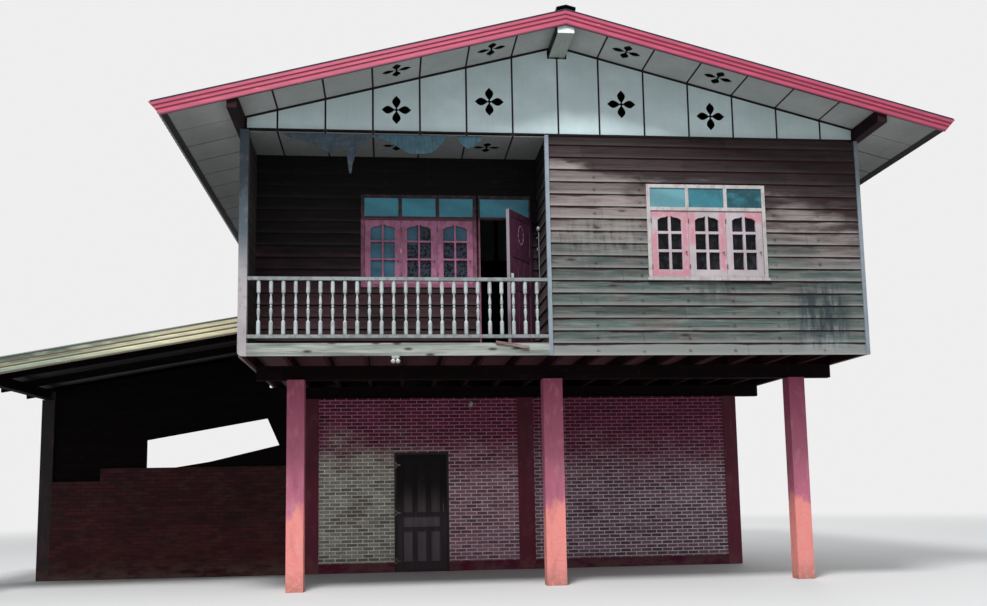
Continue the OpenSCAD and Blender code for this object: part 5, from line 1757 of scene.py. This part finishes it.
@dataclass
class LeanTo:
    """The open lean-to beside the house."""

    dresser: Dresser

    def build(self) -> None:
        """Dress the lean-to."""
        wear = self.dresser.wear
        # Near black as painted shade under the lean-to roof.
        shade_timber = Timber("#120C0E", "#0A0607", Run.ALONG_X, gloss=0.06, dust=0.04)
        wear(shade_timber, "lean_to_shade_timber", "lean_to_rafters", "lean_to_beams")
        wear(replace(shade_timber, face="#0E090A", deep="#080506"), "lean_to_shade_boards", "lean_to_infill")
        wear(RenderedPost("#1E1617", "#120D0E", turn_z=(1.0, 2.0), rubbed=0.01), "lean_to_shade_post",
             "lean_to_posts")
        # The sheet's underside is near black as painted shade.
        wear(CorrugatedSteel("#7A7C7E", "#7A4A38", 0.7, below="#0A0809"), "old_lean_to_sheet",
             "lean_to_roof_sheet")
        fascia = MouldedFascia("#E8E4BE", "#7A6248", "#8E9C88", 0.176, 0.210, 4.331, (-4.6, -6.4), "#4A3A2E",
                               "#5E6E60", "#3E5044", 0.075)
        wear(fascia, "cream_fascia_paint", "lean_to_fascia")


@dataclass(frozen=True)
class StudioLamp:
    """A broad square lamp, with its side in metres and its power in watts."""

    name: str
    place: Point
    size: float
    power: float


@dataclass
class Studio:
    """Floor, sky light, lamps and the camera at the photograph's angle."""

    eye: Point = (-2.211, -13.460, 1.297)
    yaw: float = 6.031
    pitch: float = 6.999
    roll: float = -0.973
    focal_px: float = 1000.358
    centre_px: Span = (493.678, 365.077)
    frame_px: tuple[int, int] = (987, 606)
    sensor: float = 36.0
    floor_z: float = -0.002
    floor_radius: float = 90.0
    floor_lit: tuple[float, ...] = (0.40, 0.39, 0.38, 1.0)
    floor_seen: tuple[float, ...] = (0.62, 0.62, 0.62, 1.0)
    floor_fade: Span = (14.0, 34.0)
    sky_tint: tuple[float, ...] = (0.95, 0.98, 1.0, 1.0)
    sky_power: float = 0.58
    lamps: tuple[StudioLamp, ...] = (StudioLamp("key_lamp", (-5.0, -12.0, 21.0), 5.0, 5500.0),
                                     StudioLamp("back_lamp", (8.0, 20.0, 18.0), 9.0, 2000.0))
    lit_point: Point = (0.0, 2.0, 3.0)

    def build(self) -> None:
        """Make the floor, the lights and the camera."""
        self.lay_floor()
        self.light_sky()
        self.hang_lamps()
        self.stand_camera()

    def lay_floor(self) -> None:
        """Lay a wide pale floor that fades into the backdrop."""
        clear_selection()
        bpy.ops.mesh.primitive_circle_add(vertices=96, radius=self.floor_radius, fill_type="NGON",
                                          location=(0.0, 0.0, self.floor_z))
        floor = bpy.context.object
        floor.name = "studio_floor"
        settle()
        p = Paint("studio_floor")
        seen = p.backdrop_rays()
        colour = p.add("Mix", {0: seen, 6: self.floor_lit, 7: self.floor_seen}, 2, data_type="RGBA")
        reach = p.add("VectorMath", {0: p.spot}, "Value", operation="LENGTH")
        fade = p.add("MapRange", {0: reach, 1: self.floor_fade[0], 2: self.floor_fade[1]}, **SOFT)
        near = p.add("BsdfDiffuse", {"Color": colour})
        far = p.add("Emission", {"Color": BACKDROP})
        p.add("OutputMaterial", {"Surface": p.add("MixShader", {0: p.both(fade, seen), 1: near, 2: far})})
        floor.data.materials.append(p.material)

    def light_sky(self) -> None:
        """Give an even sky light that is pale where the camera sees it."""
        world = bpy.data.worlds.new("studio_sky")
        bpy.context.scene.world = world
        sky = Tree(world)
        light = sky.add("Background", {"Color": self.sky_tint, "Strength": self.sky_power})
        shown = sky.add("Background", {"Color": BACKDROP})
        mix = sky.add("MixShader", {0: sky.backdrop_rays(), 1: light, 2: shown})
        sky.add("OutputWorld", {"Surface": mix})

    def hang_lamps(self) -> None:
        """Hang a broad key lamp in front and above, and a weak one behind."""
        for lamp in self.lamps:
            light = bpy.data.lights.new(lamp.name, "AREA")
            light.size, light.energy = lamp.size, lamp.power
            holder = bpy.data.objects.new(lamp.name, light)
            bpy.context.scene.collection.objects.link(holder)
            holder.location = lamp.place
            aim = Vector(self.lit_point) - Vector(lamp.place)
            holder.rotation_euler = aim.to_track_quat("-Z", "Y").to_euler()

    def stand_camera(self) -> None:
        """Stand the camera where the photograph was taken."""
        yaw, pitch, roll = (math.radians(a) for a in (self.yaw, self.pitch, self.roll))
        ahead = Vector((math.sin(yaw) * math.cos(pitch), math.cos(yaw) * math.cos(pitch), math.sin(pitch)))
        right = Vector((math.cos(yaw), -math.sin(yaw), 0.0))
        up = right.cross(ahead)
        cam_x = math.cos(roll) * right + math.sin(roll) * up
        cam_y = -math.sin(roll) * right + math.cos(roll) * up
        wide, tall = self.frame_px
        data = bpy.data.cameras.new("photo_camera")
        data.sensor_width = self.sensor
        data.lens = self.focal_px * self.sensor / wide
        data.shift_x = (wide / 2 - self.centre_px[0]) / wide
        data.shift_y = (self.centre_px[1] - tall / 2) / wide
        data.clip_end = 400.0
        camera = bpy.data.objects.new("photo_camera", data)
        bpy.context.scene.collection.objects.link(camera)
        camera.matrix_world = move(*self.eye) @ Matrix((cam_x, cam_y, -ahead)).transposed().to_4x4()
        bpy.context.scene.camera = camera


def main() -> None:
    """Build every sub-assembly in order."""
    logging.basicConfig(level=logging.INFO, format="%(name)s: %(message)s")
    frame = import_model()
    dresser = Dresser(frame["nodes"])
    for part in (Undercroft(dresser), BrickRoom(dresser), UpperWalls(dresser), Windows(dresser),
                 Veranda(dresser), Roof(dresser), LeanTo(dresser), Studio()):
        part.build()
        log.info("%s built", type(part).__name__)
    bare = sorted(set(frame["nodes"]) - dresser.dressed)
    if bare:
        raise ValueError(f"nodes without a finish: {bare}")
    bpy.context.scene.view_settings.view_transform = "Standard"


if __name__ == "__main__":
    main()
